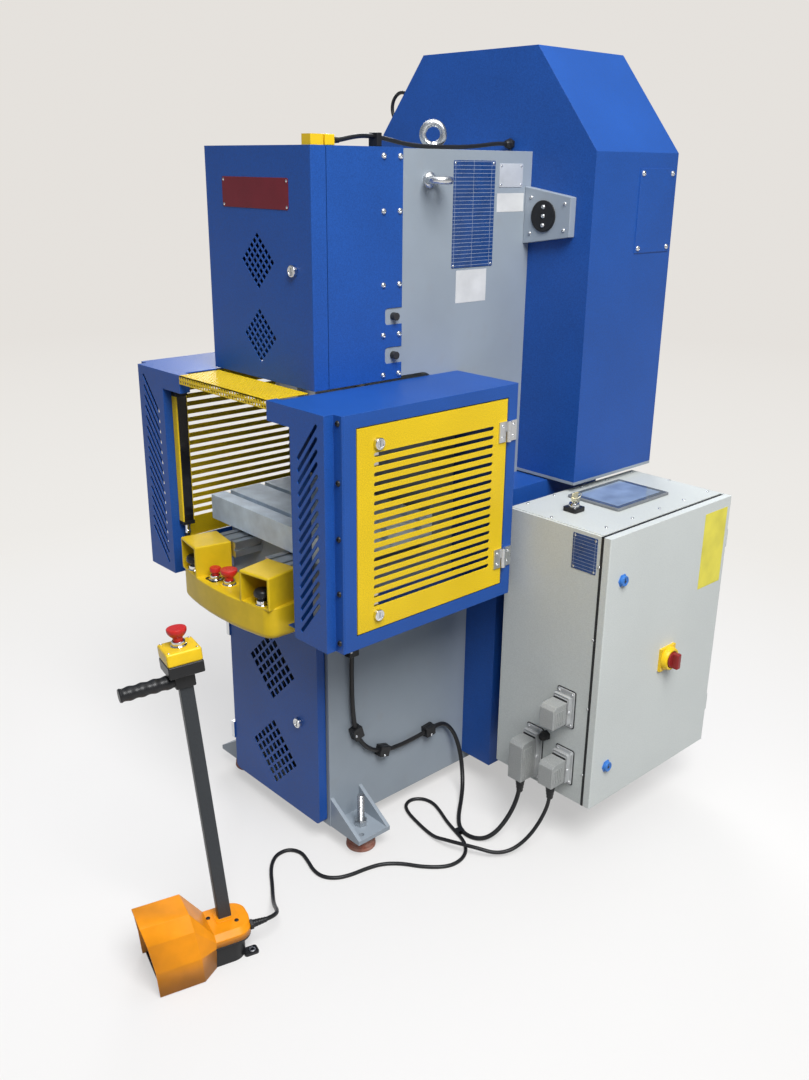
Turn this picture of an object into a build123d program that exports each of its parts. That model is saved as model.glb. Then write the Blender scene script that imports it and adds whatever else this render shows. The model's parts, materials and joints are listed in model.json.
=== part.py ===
from build123d import *
import math
import os

# An eccentric press with its guards, control cabinet and foot switch, in millimetres.
# Press coordinates: x to the operator's right from the ram's centre plane, z up from the floor,
# y to the back from the rear edge of the head cover.

# Fits and gaps
running_play = 0.05
guide_gap = 0.4
door_gap = 3.0
hole_play = 0.5

# Welded frame
frame_width = 400.0
frame_front = -235.0
frame_rear = 440.0
frame_bottom = 50.0
head_top = 1724.0
head_front = -75.0
throat_top = 1215.0
throat_back = 110.0
throat_radius = 40.0
bed_top = 798.0
side_plate = 30.0
bed_plate = 60.0
throat_plate = 25.0
ceiling_front = 20.0
rear_plate = 30.0
top_plate = 20.0
base_plate = 12.0
apron_plate = 15.0

# Feet of the frame
foot_reach = 114.0
foot_width = 106.0
foot_plate = 12.0
foot_setback = 2.0
gusset_plate = 10.0
gusset_height = 72.0
level_out = 58.0
level_along = 54.0
anchor_out = 94.0
anchor_along = 26.0
anchor_radius = 7.0
level_screw_radius = 10.0
level_screw_top = 152.0
level_nut_flats = 30.0
level_nut_height = 16.0
pad_radius = 39.0
pad_height = 30.0
pad_rounding = 6.0
pad_cap_radius = 33.0

# Bolster plate
bolster_width = 504.0
bolster_depth = 326.0
bolster_height = 66.0
slot_pitch = 112.0
slot_neck_width = 18.0
slot_neck_depth = 22.0
slot_foot_width = 30.0
slot_foot_depth = 14.0

# Eccentric drive
ram_y = -98.0
crank_height = 1530.0
crank_throw = 20.0
pin_radius = 35.0
pin_end = -126.0
pin_cap_radius = 45.0
pin_cap = 8.0
journal_radius = 60.0
shaft_radius = 45.0
seat_radius = 40.0
shaft_end = 700.0
bush_wall = 15.0
bearing_front = 6.0
bearing_plate = 60.0
bearing_plate_height = 300.0
rod_width = 50.0
rod_eye_radius = 62.0
rod_shank_half = 28.0
rod_shank_bottom = 1400.0
ball_screw_radius = 18.0
ball_radius = 28.0
ball_height = 1320.0

# Ram and its guides
ram_half = 80.0
ram_front = -165.0
ram_rear = 0.0
ram_bottom = 1130.0
ram_height = 310.0
ram_pocket_half = 54.0
ram_pocket_depth = 68.0
ball_room = 6.0
shank_radius = 20.0
shank_depth = 70.0
clamp_half = 35.0
clamp_depth = 20.0
gib_y = -26.0
gib_width = 50.0
gib_ridge = 12.0
gib_bottom = 1228.0
gib_top = 1470.0
gib_screw_heights = (1268.0, 1358.0)
gib_screw_radius = 9.0
gib_screw_stand = 14.0

# Flywheel, clutch drum, belts and motor
flywheel_radius = 320.0
flywheel_front = 470.0
flywheel_width = 100.0
rim_depth = 50.0
web_width = 30.0
hub_radius = 85.0
belt_depth = 10.0
belt_width = 13.0
belt_pitch = 36.0
belt_side_gap = 0.5
clutch_radius = 110.0
clutch_front = 590.0
clutch_rear = 680.0
motor_height = 1060.0
motor_radius = 105.0
motor_front = 175.0
motor_flange_radius = 130.0
motor_flange = 15.0
motor_shaft_radius = 19.0
motor_hole_radius = 60.0
pulley_radius = 62.0

# Head cover and head door
cover_sheet = 2.0
cover_front = -219.0
cover_bottom = 1211.0
cover_return = 20.0
cover_screw_y = (-58.0, -9.0)
cover_screw_heights = (1707.0, 1591.0, 1430.0, 1316.0, 1223.0)
window_depth = 52.0
window_height = 38.0
window_corner = 8.0
head_door_front = -261.0
door_bend = 3.0
head_seam = 2.0
head_hinge_heights = (1330.0, 1610.0)
head_lock = (136.0, 1468.0)
head_field_heights = (1480.0, 1311.0)
head_field_hole = 11.0
head_field_pitch = 15.5
field_count = 6

# Lower door
lower_door_front = -263.0
lower_door_bottom = 62.0
lower_door_top = 622.0
lower_door_inset = 9.0
lower_door_sheet = 2.0
lower_door_corner = 14.0
lower_hinge_heights = (180.0, 500.0)
lower_lock = (112.0, 335.0)
lower_field_heights = (455.0, 197.0)
lower_field_hole = 17.0
lower_field_pitch = 24.0
striker_reach = 20.0
striker_height = 30.0
striker_depth = 10.0

# Lift-off hinges
hinge_height = 50.0
hinge_stand = 6.5
knuckle_radius = 6.0
hinge_pin_radius = 3.0
leaf_start = 7.0
leaf_end = 30.0
leaf_plate = 4.0
hinge_split = 0.4

# Quarter-turn locks
lock_radius = 13.0
lock_head = 8.0
lock_shank_radius = 8.0
lock_slot_width = 3.0
lock_slot_length = 15.0
lock_slot_depth = 2.5
cam_width = 14.0
cam_plate = 3.0

# Button-head screws
screw_head_radius = 7.0
screw_head = 4.5
screw_radius = 4.0

# Belt guard
guard_sheet = 2.5
belt_guard_rear = 782.0
belt_guard_half = 399.0
belt_guard_top_half = 201.0
belt_guard_bottom = 907.0
belt_guard_shoulder_rise = 1.0
belt_guard_rise = 242.0
belt_guard_base = 8.0
belt_window_half = 160.0
belt_window_bottom = 960.0
panel_y = (622.0, 772.0)
panel_z = (1483.0, 1688.0)
panel_sheet = 2.0
panel_screw_inset = 12.0

# Bracket with its round cap, and eye bolts
bracket_reach = 148.0
bracket_bottom = 1504.0
bracket_top = 1642.0
bracket_taper = 22.0
bracket_plate = 22.0
cap_offset = 65.0
cap_radius = 38.0
cap_depth = 12.0
eye_ring_radius = 25.0
eye_wire_radius = 6.5
eye_collar_radius = 15.0
eye_collar = 8.0
top_eye = (100.0, 190.0)
top_eye_turn = 45.0
side_eye = (82.0, 1657.0)

# Side guards and their doors
guard_reach = 207.0
guard_front = -350.0
guard_rear = 193.0
guard_bottom = 666.0
guard_top = 1205.0
guard_bend = 4.0
guard_front_return = 45.0
guard_door_front = -311.0
guard_door_rear = 156.0
guard_door_bottom = 702.0
guard_door_top = 1172.0
guard_door_return = 5.0
guard_hinge_heights = (1094.0, 771.0)
latch_y = -253.0
latch_heights = (1133.0, 736.0)
door_slot_count = 17
door_slot_pitch = 21.7
door_slot_width = 9.5
door_slot_length = 375.0
door_slot_centre = (-76.5, 934.5)

# Front wings, grille and light curtains
wing_front = -378.0
wing_setback = 27.0
wing_opening = 262.0
wing_return = 52.0
header_opening = 180.0
header_bottom = 1160.0
wing_slot_count = 16
wing_slot_pitch = 27.0
wing_slot_length = 112.0
wing_slot_width = 9.0
wing_slot_angle = 52.0
wing_slot_centre = (322.0, 936.0)
wing_bolt_inset = 13.0
wing_bolt_heights = (1188.0, 1060.0, 935.0, 808.0, 690.0)
grille_rear = -264.0
grille_sheet = 2.0
grille_lip = 21.0
grille_hole_radius = 4.0
grille_pitch = 13.0
grille_rows = 7
grille_columns = 25
curtain_width = 37.0
curtain_depth = 48.0
curtain_bottom = 800.0
curtain_top = 1150.0
curtain_setback = 4.0
curtain_window = 22.0
curtain_window_depth = 2.0

# Two-hand control desk
desk_half = 192.0
desk_front = -420.0
desk_back = -312.0
desk_bottom = 632.0
deck_height = 714.0
desk_wall = 3.0
desk_corner = 24.0
desk_hood_inner = 95.0
desk_hood_depth = 104.0
desk_hood_top = 793.0
arm_inner = 65.0
arm_outer = 150.0
arm_bottom = 752.0
arm_height = 40.0
arm_groove = 8.0
arm_groove_depth = 6.0
arm_groove_spacing = 42.0
palm_button = (148.0, -386.0)
stop_button = (-58.0, -382.0)
desk_emergency = (-6.0, -376.0)

# Push buttons
stem_radius = 11.0
stem_below = 20.0
collar_radius = 16.0
collar_height = 12.0
cap_clear = 8.0
mushroom_radius = 20.0
mushroom_height = 20.0
mushroom_rounding = 7.0
flat_cap_radius = 14.0
flat_cap_height = 12.0
flat_cap_rounding = 2.0

# Rear enclosure and the rails of the cabinet
enclosure_reach = 108.0
enclosure_front = 257.0
enclosure_rear = 660.0
enclosure_bottom = 80.0
enclosure_top = 895.0
rail_height = 40.0
rail_heights = (280.0, 720.0)
rail_y = (300.0, 620.0)

# Control cabinet
cabinet_gap = 57.0
cabinet_front = 224.0
cabinet_width = 525.0
cabinet_bottom = 142.0
cabinet_height = 735.0
cabinet_depth = 298.0
cabinet_sheet = 2.0
cabinet_flange = 22.0
cabinet_door_depth = 20.0
cabinet_seam = 2.0
cabinet_lid = 2.0
cabinet_lid_inset = 6.0
cabinet_hinge_drops = (120.0, 615.0)
cabinet_lock_in = 59.0
cabinet_lock_drops = (117.0, 630.0)
isolator_in = 284.0
isolator_drop = 394.0
isolator_plate_size = 64.0
isolator_plate = 8.0
isolator_radius = 22.0
isolator_height = 18.0
isolator_grip_width = 14.0
isolator_grip_height = 18.0
screen_x = (46.0, 210.0)
screen_y = (176.0, 399.0)
screen_height = 8.0
screen_rounding = 6.0
key_x = 130.0
key_y = 99.0
key_base_size = 40.0
key_base_height = 12.0
key_barrel_radius = 14.0
key_barrel_height = 10.0
key_shank_radius = 4.0
key_blade = (3.0, 24.0, 26.0)

# Cable connectors on the front of the cabinet: centre from the cabinet's left, height, base and hood sizes
connector_left = (132.0, 229.0, 49.0, 150.0, 112.0)
connector_upper = (225.0, 399.0, 52.0, 100.0, 62.0)
connector_lower = (233.0, 235.0, 52.0, 96.0, 66.0)
connector_base_depth = 26.0
connector_hood_width = 46.0
connector_hood_depth = 52.0
connector_rounding = 5.0
connector_entry_radius = 10.0
connector_entry = 10.0
gland_spot = (169.0, 294.0)
gland_radius = 12.0
gland_length = 24.0

# Foot switch: its own frame starts at the mouth's centre on the floor and runs to the back
pedal_x = 306.0
pedal_y = -831.0
pedal_turn = -14.5
pedal_length = 228.0
hood_half = 76.0
hood_waist = 66.0
hood_hip_half = 60.0
hood_hip = 128.0
hood_crown_half = 37.0
hood_height = 160.0
hood_lean = 10.0
hood_straight = 102.0
rear_start = 138.0
rear_foot_half = 48.0
rear_half = 55.0
rear_height = 88.0
rear_shoulder = 12.0
hood_floor = 2.0
hood_wall = 4.0
switch_plate = 6.0
base_half = 46.0
base_step_start = 130.0
base_step = 60.0
base_rim = 5.0
base_front_inset = 10.0
base_rear_inset = 14.0
lug_size = 26.0
lug_hole_radius = 4.0
treadle_half = 50.0
treadle_front = 16.0
treadle_plate = 6.0
treadle_height = 30.0
treadle_hinge = 100.0
treadle_pin_radius = 5.0
treadle_lug = 6.0
pedal_gland_x = 30.0
pedal_gland_height = 73.0
pedal_gland_radius = 9.0
pedal_gland_length = 18.0
pole_x = -9.0
pole_y = 178.0
pole_width = 20.0
pole_depth = 30.0
pole_length = 610.0
pole_lean_left = 58.0
pole_lean_front = 28.0
pole_foot = 4.0
pole_foot_size = 62.0
grip_radius = 16.0
grip_length = 125.0
grip_drop = 18.0
box_size = 76.0
box_height = 56.0
box_rounding = 5.0

# Door interlock on top of the head
interlock_x = (165.0, 195.0)
interlock_switch_length = 26.0
interlock_actuator_length = 34.0
interlock_height = 22.0
interlock_gap = 3.0

# Cables, their clips and glands
cable_radius = 6.0
head_cable_radius = 5.0
cord_radius = 5.0
cable_stand = 12.0
cable_start_y = -167.0
clip_length = 34.0
clip_width = 30.0
clip_depth = 24.0
clip_bore_radius = 8.6
column_clips = (
    (-167.5, 548.0, 90.0),
    (-153.0, 306.0, 107.0),
    (-62.0, 216.5, 163.0),
    (108.0, 211.8, 185.7),
)
head_clip = (150.0, -38.0)
head_clip_size = 30.0
head_clip_bore = 22.0
head_gland_x = 128.0
head_gland_rise = 18.0
guard_gland_radius = 11.0
guard_gland_length = 26.0
loop_y = 470.0
loop_radius = 40.0
loop_fraction = 0.45
loop_corners = 6

# Places that follow from the sizes above
frame_half = frame_width / 2
inner_half = frame_half - side_plate
cover_half = frame_half + cover_sheet
cover_top = head_top + cover_sheet
belt_guard_shoulder = head_top + belt_guard_shoulder_rise
belt_guard_top = head_top + belt_guard_rise
head_gland = (head_gland_x, head_top + head_gland_rise)
guard_half = frame_half + guard_reach
wing_half = guard_half - wing_setback
foot_front = frame_front + foot_setback
foot_top = frame_bottom + foot_plate
bolster_top = bed_top + bolster_height
cabinet_left = frame_half + enclosure_reach + cabinet_gap
cabinet_face = cabinet_left + cabinet_depth
cabinet_door_face = cabinet_face + cabinet_seam + cabinet_door_depth
cabinet_rear = cabinet_front + cabinet_width
cabinet_top = cabinet_bottom + cabinet_height
lid_top = cabinet_top + cabinet_lid
level_spots = (
    (frame_half + level_out, foot_front + level_along),
    (frame_half - level_along, frame_rear + level_out),
)
anchor_spots = (
    (frame_half + anchor_out, foot_front + anchor_along),
    (frame_half - anchor_along, frame_rear + anchor_out),
)

# The part's origin is on the floor, under the middle of the whole outfit.
pedal_angle = math.radians(pedal_turn)
right_end = cabinet_door_face + isolator_plate + guide_gap + isolator_height + isolator_grip_height
left_end = -(guard_half + hinge_stand + knuckle_radius)
front_end = pedal_y - hood_half * abs(math.sin(pedal_angle))
press_x = -(left_end + right_end) / 2
press_y = -(front_end + belt_guard_rear) / 2
press = Plane((press_x, press_y, 0))
mid_plane = Plane(origin=(press_x, press_y, 0), z_dir=(1, 0, 0))

pedal = Plane(
    origin=(press_x + pedal_x, press_y + pedal_y, 0),
    x_dir=(math.cos(pedal_angle), math.sin(pedal_angle), 0),
)
pole_base = pedal.from_local_coords((pole_x, pole_y, rear_height))
pole = Plane(
    origin=pole_base,
    x_dir=pedal.x_dir,
    z_dir=(-pole_lean_left, -pole_lean_front, pole_length),
)

os.makedirs("parts", exist_ok=True)


def level(x, y, z):
    """A plane that faces up."""
    return Plane((press_x + x, press_y + y, z))


def front_face(x, y, z):
    """A plane that faces the operator: its x is the press's x, and its y is up."""
    return Plane(origin=(press_x + x, press_y + y, z), x_dir=(1, 0, 0), z_dir=(0, -1, 0))


def right_face(x, y, z):
    """A plane that faces right: its x runs to the back, and its y is up."""
    return Plane(origin=(press_x + x, press_y + y, z), x_dir=(0, 1, 0), z_dir=(1, 0, 0))


def block(x, y, z, mode=Mode.ADD):
    """Adds a box between three pairs of coordinates of the open part's own plane."""
    with Locations(((x[0] + x[1]) / 2, (y[0] + y[1]) / 2, (z[0] + z[1]) / 2)):
        Box(x[1] - x[0], y[1] - y[0], z[1] - z[0], mode=mode)


def bar(axis, at, radius, span, mode=Mode.ADD):
    """Adds a round bar along an axis, at its two other coordinates."""
    middle = (span[0] + span[1]) / 2
    centre = {"X": (middle, *at), "Y": (at[0], middle, at[1]), "Z": (*at, middle)}[axis]
    turn = {"X": (0, 90, 0), "Y": (90, 0, 0), "Z": (0, 0, 0)}[axis]
    with Locations(centre):
        Cylinder(radius, span[1] - span[0], rotation=turn, mode=mode)


def prism(face, corners, depth, mode=Mode.ADD):
    """Extrudes a polygon that is drawn on a face."""
    with BuildSketch(face) as outline:
        with BuildLine():
            Polyline(*corners, close=True)
        make_face()
    extrude(outline.sketch, amount=depth, mode=mode)


def slab(face, x, y, z, mode=Mode.ADD):
    """Adds a box between three pairs of coordinates of a face."""
    with BuildSketch(face.offset(z[0])) as outline:
        with Locations(((x[0] + x[1]) / 2, (y[0] + y[1]) / 2)):
            Rectangle(abs(x[1] - x[0]), y[1] - y[0])
    extrude(outline.sketch, amount=z[1] - z[0], mode=mode)


def stud(face, radius, z, mode=Mode.ADD, at=(0, 0)):
    """Adds a round bar that stands square to a face."""
    with BuildSketch(face.offset(z[0])) as outline:
        with Locations(at):
            Circle(radius)
    extrude(outline.sketch, amount=z[1] - z[0], mode=mode)


def hinge_half(hinge, side, reach=0.0, span=leaf_end):
    """One half of a lift-off hinge, fixed (side -1) or moving (side 1), about the z axis of its plane.

    The plane's x runs along the two faces, from the fixed one to the moving one, and its y points out."""
    half = hinge_height / 2
    if side < 0:
        knuckle = (-half, -hinge_split / 2)
    else:
        knuckle = (hinge_split / 2, half)
    leaf_y = (-hinge_stand - reach, leaf_plate - hinge_stand)
    slab(hinge, (side * leaf_start, side * span), leaf_y, (-half, half))
    slab(hinge, (0, side * (leaf_start + 1)), (-hinge_stand, 0), knuckle)
    stud(hinge, knuckle_radius, knuckle)
    if side < 0:
        stud(hinge, hinge_pin_radius, (-half, half))
    else:
        stud(hinge, hinge_pin_radius + running_play, knuckle, Mode.SUBTRACT)


def quarter_turn_lock(face, cam_length, cam_depth, way=1):
    """A lock whose cam points up (way 1) or down (way -1).

    The face is the outside of the door that carries it."""
    stud(face, lock_radius, (guide_gap, guide_gap + lock_head))
    stud(face, lock_shank_radius, (-cam_depth - cam_plate, guide_gap))
    half = cam_width / 2
    cam_y = sorted((-way * half, way * cam_length))
    slab(face, (-half, half), cam_y, (-cam_depth - cam_plate, -cam_depth))
    slot = (guide_gap + lock_head - lock_slot_depth, guide_gap + lock_head)
    slab(
        face,
        (-lock_slot_width / 2, lock_slot_width / 2),
        (-lock_slot_length / 2, lock_slot_length / 2),
        slot,
        Mode.SUBTRACT,
    )


def diamond_field(face, hole, pitch, depth):
    """Cuts a square grid of square holes that stands on its corner."""
    with BuildSketch(face) as field:
        with Locations(Location((0, 0, 0), (0, 0, 45))):
            with GridLocations(pitch, pitch, field_count, field_count):
                Rectangle(hole, hole)
    extrude(field.sketch, amount=-depth, mode=Mode.SUBTRACT)


def button_screw(face, grip):
    """A screw with its head on the face, which reaches through the grip behind it."""
    stud(face, screw_head_radius, (0, screw_head))
    stud(face, screw_radius, (-grip, 0))


def turned(face, corners, rounding):
    """Turns a profile of (radius, height) corners about a face's z axis; its outer top corner is rounded."""
    with BuildSketch(Plane(origin=face.origin, x_dir=face.x_dir, z_dir=-face.y_dir)) as profile:
        with BuildLine():
            Polyline(*corners, close=True)
        make_face()
        fillet(profile.vertices().group_by(Axis.X)[-1].sort_by(Axis.Y)[-1], rounding)
    revolve(profile.sketch, axis=Axis(face.origin, face.z_dir))


def push_button(face, cap_radius, cap_height, rounding):
    """A stem with a cap, over a deck that is the face."""
    cap_bottom = collar_height + cap_clear
    cap_top = cap_bottom + cap_height
    turned(
        face,
        [
            (0, -stem_below),
            (stem_radius, -stem_below),
            (stem_radius, cap_bottom),
            (cap_radius, cap_bottom),
            (cap_radius, cap_top),
            (0, cap_top),
        ],
        rounding,
    )


def collar(face):
    """A ring round a button's stem, on the deck that is the face."""
    stud(face, collar_radius, (0, collar_height))
    stud(face, stem_radius + guide_gap, (0, collar_height), Mode.SUBTRACT)


def bend_radii(points):
    """The radius of each corner of a route, as large as its two runs allow."""
    radii = []
    for before, here, after in zip(points, points[1:], points[2:]):
        arriving = Vector(*here) - Vector(*before)
        leaving = Vector(*after) - Vector(*here)
        half_turn = math.radians(arriving.get_angle(leaving)) / 2
        radii.append(0.45 * min(arriving.length, leaving.length) / math.tan(half_turn))
    return radii


def tube(name, points, radius):
    """Sweeps a round section along straight runs and tangent arcs, and prints how they measure."""
    radii = bend_radii(points)
    with BuildLine(press) as route:
        FilletPolyline(*points, radius=radii)
    path = route.wires()[0]
    with BuildSketch(Plane(origin=path @ 0, z_dir=path % 0)) as section:
        Circle(radius)
    swept = sweep(section.sketch, path=path)
    print(name, "length", round(path.length, 1), "least radius", round(min(radii), 1))
    straight = math.pi * radius**2 * path.length
    print(name, "volume over section times length", round(swept.volume / straight, 4))


# Welded frame: two cheeks, the plates between them, and four feet
lower_door_half = frame_half - lower_door_inset
lower_door_back = frame_front - door_gap
lower_pin_y = frame_front - door_gap / 2
lower_hinges = [
    Plane(
        origin=(press_x - frame_half - hinge_stand, press_y + lower_pin_y, z),
        x_dir=(0, -1, 0),
        z_dir=(0, 0, -1),
    )
    for z in lower_hinge_heights
]
with BuildPart(press) as frame:
    with BuildSketch(right_face(inner_half, 0, 0)) as cheek:
        with BuildLine():
            Polyline(
                (frame_front, frame_bottom),
                (frame_rear, frame_bottom),
                (frame_rear, head_top),
                (head_front, head_top),
                (head_front, throat_top),
                (throat_back, throat_top),
                (throat_back, bed_top),
                (frame_front, bed_top),
                close=True,
            )
        make_face()
        fillet(cheek.vertices().group_by(Axis.X)[-2], throat_radius)
    extrude(amount=side_plate)
    foot_y = (foot_front, foot_front + foot_width)
    block((frame_half, frame_half + foot_reach), foot_y, (frame_bottom, foot_top))
    for y in (foot_y[0] + gusset_plate, foot_y[1]):
        prism(
            front_face(frame_half, y, foot_top),
            [(0, 0), (foot_reach, 0), (0, gusset_height)],
            gusset_plate,
        )
    rear_foot_x = (frame_half - foot_width, frame_half)
    block(rear_foot_x, (frame_rear, frame_rear + foot_reach), (frame_bottom, foot_top))
    for x in (rear_foot_x[0], rear_foot_x[1] - gusset_plate):
        prism(
            right_face(x, frame_rear, foot_top),
            [(0, 0), (foot_reach, 0), (0, gusset_height)],
            gusset_plate,
        )
    for spot in level_spots:
        bar("Z", spot, level_screw_radius + hole_play, (frame_bottom, foot_top), Mode.SUBTRACT)
    for spot in anchor_spots:
        bar("Z", spot, anchor_radius, (frame_bottom, foot_top), Mode.SUBTRACT)
    mirror(about=mid_plane)
    inside = (-inner_half, inner_half)
    throat_y = (throat_back, throat_back + throat_plate)
    bed_bottom = bed_top - bed_plate
    block(inside, (frame_front, throat_back), (bed_bottom, bed_top))
    block(inside, throat_y, (bed_bottom, throat_top + throat_plate))
    block(inside, (ceiling_front, throat_y[1]), (throat_top, throat_top + throat_plate))
    bearing_y = (bearing_front, bearing_front + bearing_plate)
    half_bearing = bearing_plate_height / 2
    block(inside, bearing_y, (crank_height - half_bearing, crank_height + half_bearing))
    rear_plate_y = (frame_rear - rear_plate, frame_rear)
    block(inside, rear_plate_y, (frame_bottom, head_top))
    block(inside, (head_front, frame_rear), (head_top - top_plate, head_top))
    block(inside, (frame_front, frame_rear), (frame_bottom, frame_bottom + base_plate))
    block(inside, (frame_front, frame_front + apron_plate), (lower_door_top, bed_bottom))
    bar("Y", (0, crank_height), journal_radius + bush_wall, bearing_y, Mode.SUBTRACT)
    bar("Y", (0, crank_height), shaft_radius + bush_wall, rear_plate_y, Mode.SUBTRACT)
    bar("Y", (0, motor_height), motor_hole_radius, rear_plate_y, Mode.SUBTRACT)
    block(
        (inner_half - striker_reach, inner_half),
        (frame_front, frame_front + striker_depth),
        (lower_lock[1] - striker_height / 2, lower_lock[1] + striker_height / 2),
    )
    for hinge in lower_hinges:
        hinge_half(hinge, -1)
frame.part.label = "frame"
export_step(frame.part, "parts/frame.step")

# Levelling screw, its two nuts and its rubber pad, at each foot
with BuildPart(press) as levelling_feet:
    for x, y in level_spots:
        turned(
            level(x, y, 0),
            [(0, 0), (pad_radius, 0), (pad_radius, pad_height), (0, pad_height)],
            pad_rounding,
        )
        bar("Z", (x, y), pad_cap_radius, (pad_height, frame_bottom - level_nut_height))
        bar("Z", (x, y), level_screw_radius, (pad_height, level_screw_top))
        for nut_bottom in (frame_bottom - level_nut_height, foot_top):
            with BuildSketch(level(x, y, nut_bottom)):
                RegularPolygon(level_nut_flats / 2, 6, major_radius=False)
            extrude(amount=level_nut_height)
    mirror(about=mid_plane)
levelling_feet.part.label = "levelling_feet"
export_step(levelling_feet.part, "parts/levelling_feet.step")

# Bolster plate with three T-slots from side to side
with BuildPart(press) as bolster_plate:
    bolster_half = bolster_width / 2
    bolster_y = (ram_y - bolster_depth / 2, ram_y + bolster_depth / 2)
    block((-bolster_half, bolster_half), bolster_y, (bed_top, bolster_top))
    neck_bottom = bolster_top - slot_neck_depth
    for y in (ram_y - slot_pitch, ram_y, ram_y + slot_pitch):
        neck_y = (y - slot_neck_width / 2, y + slot_neck_width / 2)
        foot_slot_y = (y - slot_foot_width / 2, y + slot_foot_width / 2)
        block((-bolster_half, bolster_half), neck_y, (neck_bottom, bolster_top), Mode.SUBTRACT)
        foot_slot_z = (neck_bottom - slot_foot_depth, neck_bottom)
        block((-bolster_half, bolster_half), foot_slot_y, foot_slot_z, Mode.SUBTRACT)
bolster_plate.part.label = "bolster_plate"
export_step(bolster_plate.part, "parts/bolster_plate.step")

# Bearing bushes of the eccentric shaft
with BuildPart(press) as shaft_bearings:
    for radius, span in ((journal_radius, bearing_y), (shaft_radius, rear_plate_y)):
        bar("Y", (0, crank_height), radius + bush_wall, span)
        bar("Y", (0, crank_height), radius + running_play, span, Mode.SUBTRACT)
shaft_bearings.part.label = "shaft_bearings"
export_step(shaft_bearings.part, "parts/shaft_bearings.step")

# Eccentric shaft: pin at the front, two journals, flywheel seat and clutch drum
pin_height = crank_height + crank_throw
with BuildPart(press) as eccentric_shaft:
    journal_end = bearing_y[1] + door_gap
    bar("Y", (0, pin_height), pin_radius, (pin_end, bearing_front - door_gap))
    bar("Y", (0, pin_height), pin_cap_radius, (pin_end - pin_cap, pin_end))
    bar("Y", (0, crank_height), journal_radius, (bearing_front - door_gap, journal_end))
    bar("Y", (0, crank_height), shaft_radius, (journal_end, frame_rear + door_gap))
    bar("Y", (0, crank_height), seat_radius, (frame_rear + door_gap, shaft_end))
    bar("Y", (0, crank_height), clutch_radius, (clutch_front, clutch_rear))
eccentric_shaft.part.label = "eccentric_shaft"
export_step(eccentric_shaft.part, "parts/eccentric_shaft.step")

# Connecting rod with its ball screw, upright under the eccentric pin
with BuildPart(press) as connecting_rod:
    rod_y = (ram_y - rod_width / 2, ram_y + rod_width / 2)
    bar("Y", (0, pin_height), rod_eye_radius, rod_y)
    block((-rod_shank_half, rod_shank_half), rod_y, (rod_shank_bottom, pin_height))
    bar("Y", (0, pin_height), pin_radius + running_play, rod_y, Mode.SUBTRACT)
    bar("Z", (0, ram_y), ball_screw_radius, (ball_height, rod_shank_bottom))
    with Locations((0, ram_y, ball_height)):
        Sphere(ball_radius)
connecting_rod.part.label = "connecting_rod"
export_step(connecting_rod.part, "parts/connecting_rod.step")

# Ram: guide grooves at its sides, pocket for the ball screw, and the bore for a tool's shank
with BuildPart(press) as ram:
    block((-ram_half, ram_half), (ram_front, ram_rear), (ram_bottom, ram_bottom + ram_height))
    pocket_y = (ram_y - ram_pocket_depth / 2, ram_y + ram_pocket_depth / 2)
    pocket_bottom = ball_height - ball_radius - ball_room
    block(
        (-ram_pocket_half, ram_pocket_half),
        pocket_y,
        (pocket_bottom, ram_bottom + ram_height),
        Mode.SUBTRACT,
    )
    for side in (-1, 1):
        prism(
            level(0, gib_y, ram_bottom),
            [
                (side * ram_half, -gib_ridge),
                (side * (ram_half - gib_ridge), 0),
                (side * ram_half, gib_ridge),
            ],
            ram_height,
            Mode.SUBTRACT,
        )
    shank_z = (ram_bottom, ram_bottom + shank_depth)
    block((-clamp_half, clamp_half), (ram_front - clamp_depth, ram_front), shank_z)
    bar("Z", (0, ram_y), shank_radius, shank_z, Mode.SUBTRACT)
ram.part.label = "ram"
export_step(ram.part, "parts/ram.step")

# Gibs with their adjusting screws, which reach through the cheeks
with BuildPart(press) as ram_gibs:
    gib_half = gib_width / 2
    gib_face = ram_half + guide_gap
    prism(
        level(0, gib_y, gib_bottom),
        [
            (inner_half, -gib_half),
            (inner_half, gib_half),
            (gib_face, gib_half),
            (gib_face, gib_ridge),
            (gib_face - gib_ridge, 0),
            (gib_face, -gib_ridge),
            (gib_face, -gib_half),
        ],
        gib_top - gib_bottom,
    )
    for z in gib_screw_heights:
        bar("X", (gib_y, z), gib_screw_radius, (frame_half, frame_half + gib_screw_stand))
    mirror(about=mid_plane)
ram_gibs.part.label = "ram_gibs"
export_step(ram_gibs.part, "parts/ram_gibs.step")

# Flywheel with grooves for two V-belts
belt_y = flywheel_front + flywheel_width / 2
belt_spots = (belt_y - belt_pitch / 2, belt_y + belt_pitch / 2)
with BuildPart(press) as flywheel:
    flywheel_y = (flywheel_front, flywheel_front + flywheel_width)
    bar("Y", (0, crank_height), flywheel_radius, flywheel_y)
    for span in (
        (flywheel_y[0], belt_y - web_width / 2),
        (belt_y + web_width / 2, flywheel_y[1]),
    ):
        bar("Y", (0, crank_height), flywheel_radius - rim_depth, span, Mode.SUBTRACT)
        bar("Y", (0, crank_height), hub_radius, span)
    bar("Y", (0, crank_height), seat_radius + running_play, flywheel_y, Mode.SUBTRACT)
    for y in belt_spots:
        with BuildSketch(front_face(0, y + belt_width / 2, crank_height)):
            Circle(flywheel_radius + 1)
            Circle(flywheel_radius - belt_depth, mode=Mode.SUBTRACT)
        extrude(amount=belt_width, mode=Mode.SUBTRACT)
flywheel.part.label = "flywheel"
export_step(flywheel.part, "parts/flywheel.step")

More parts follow.
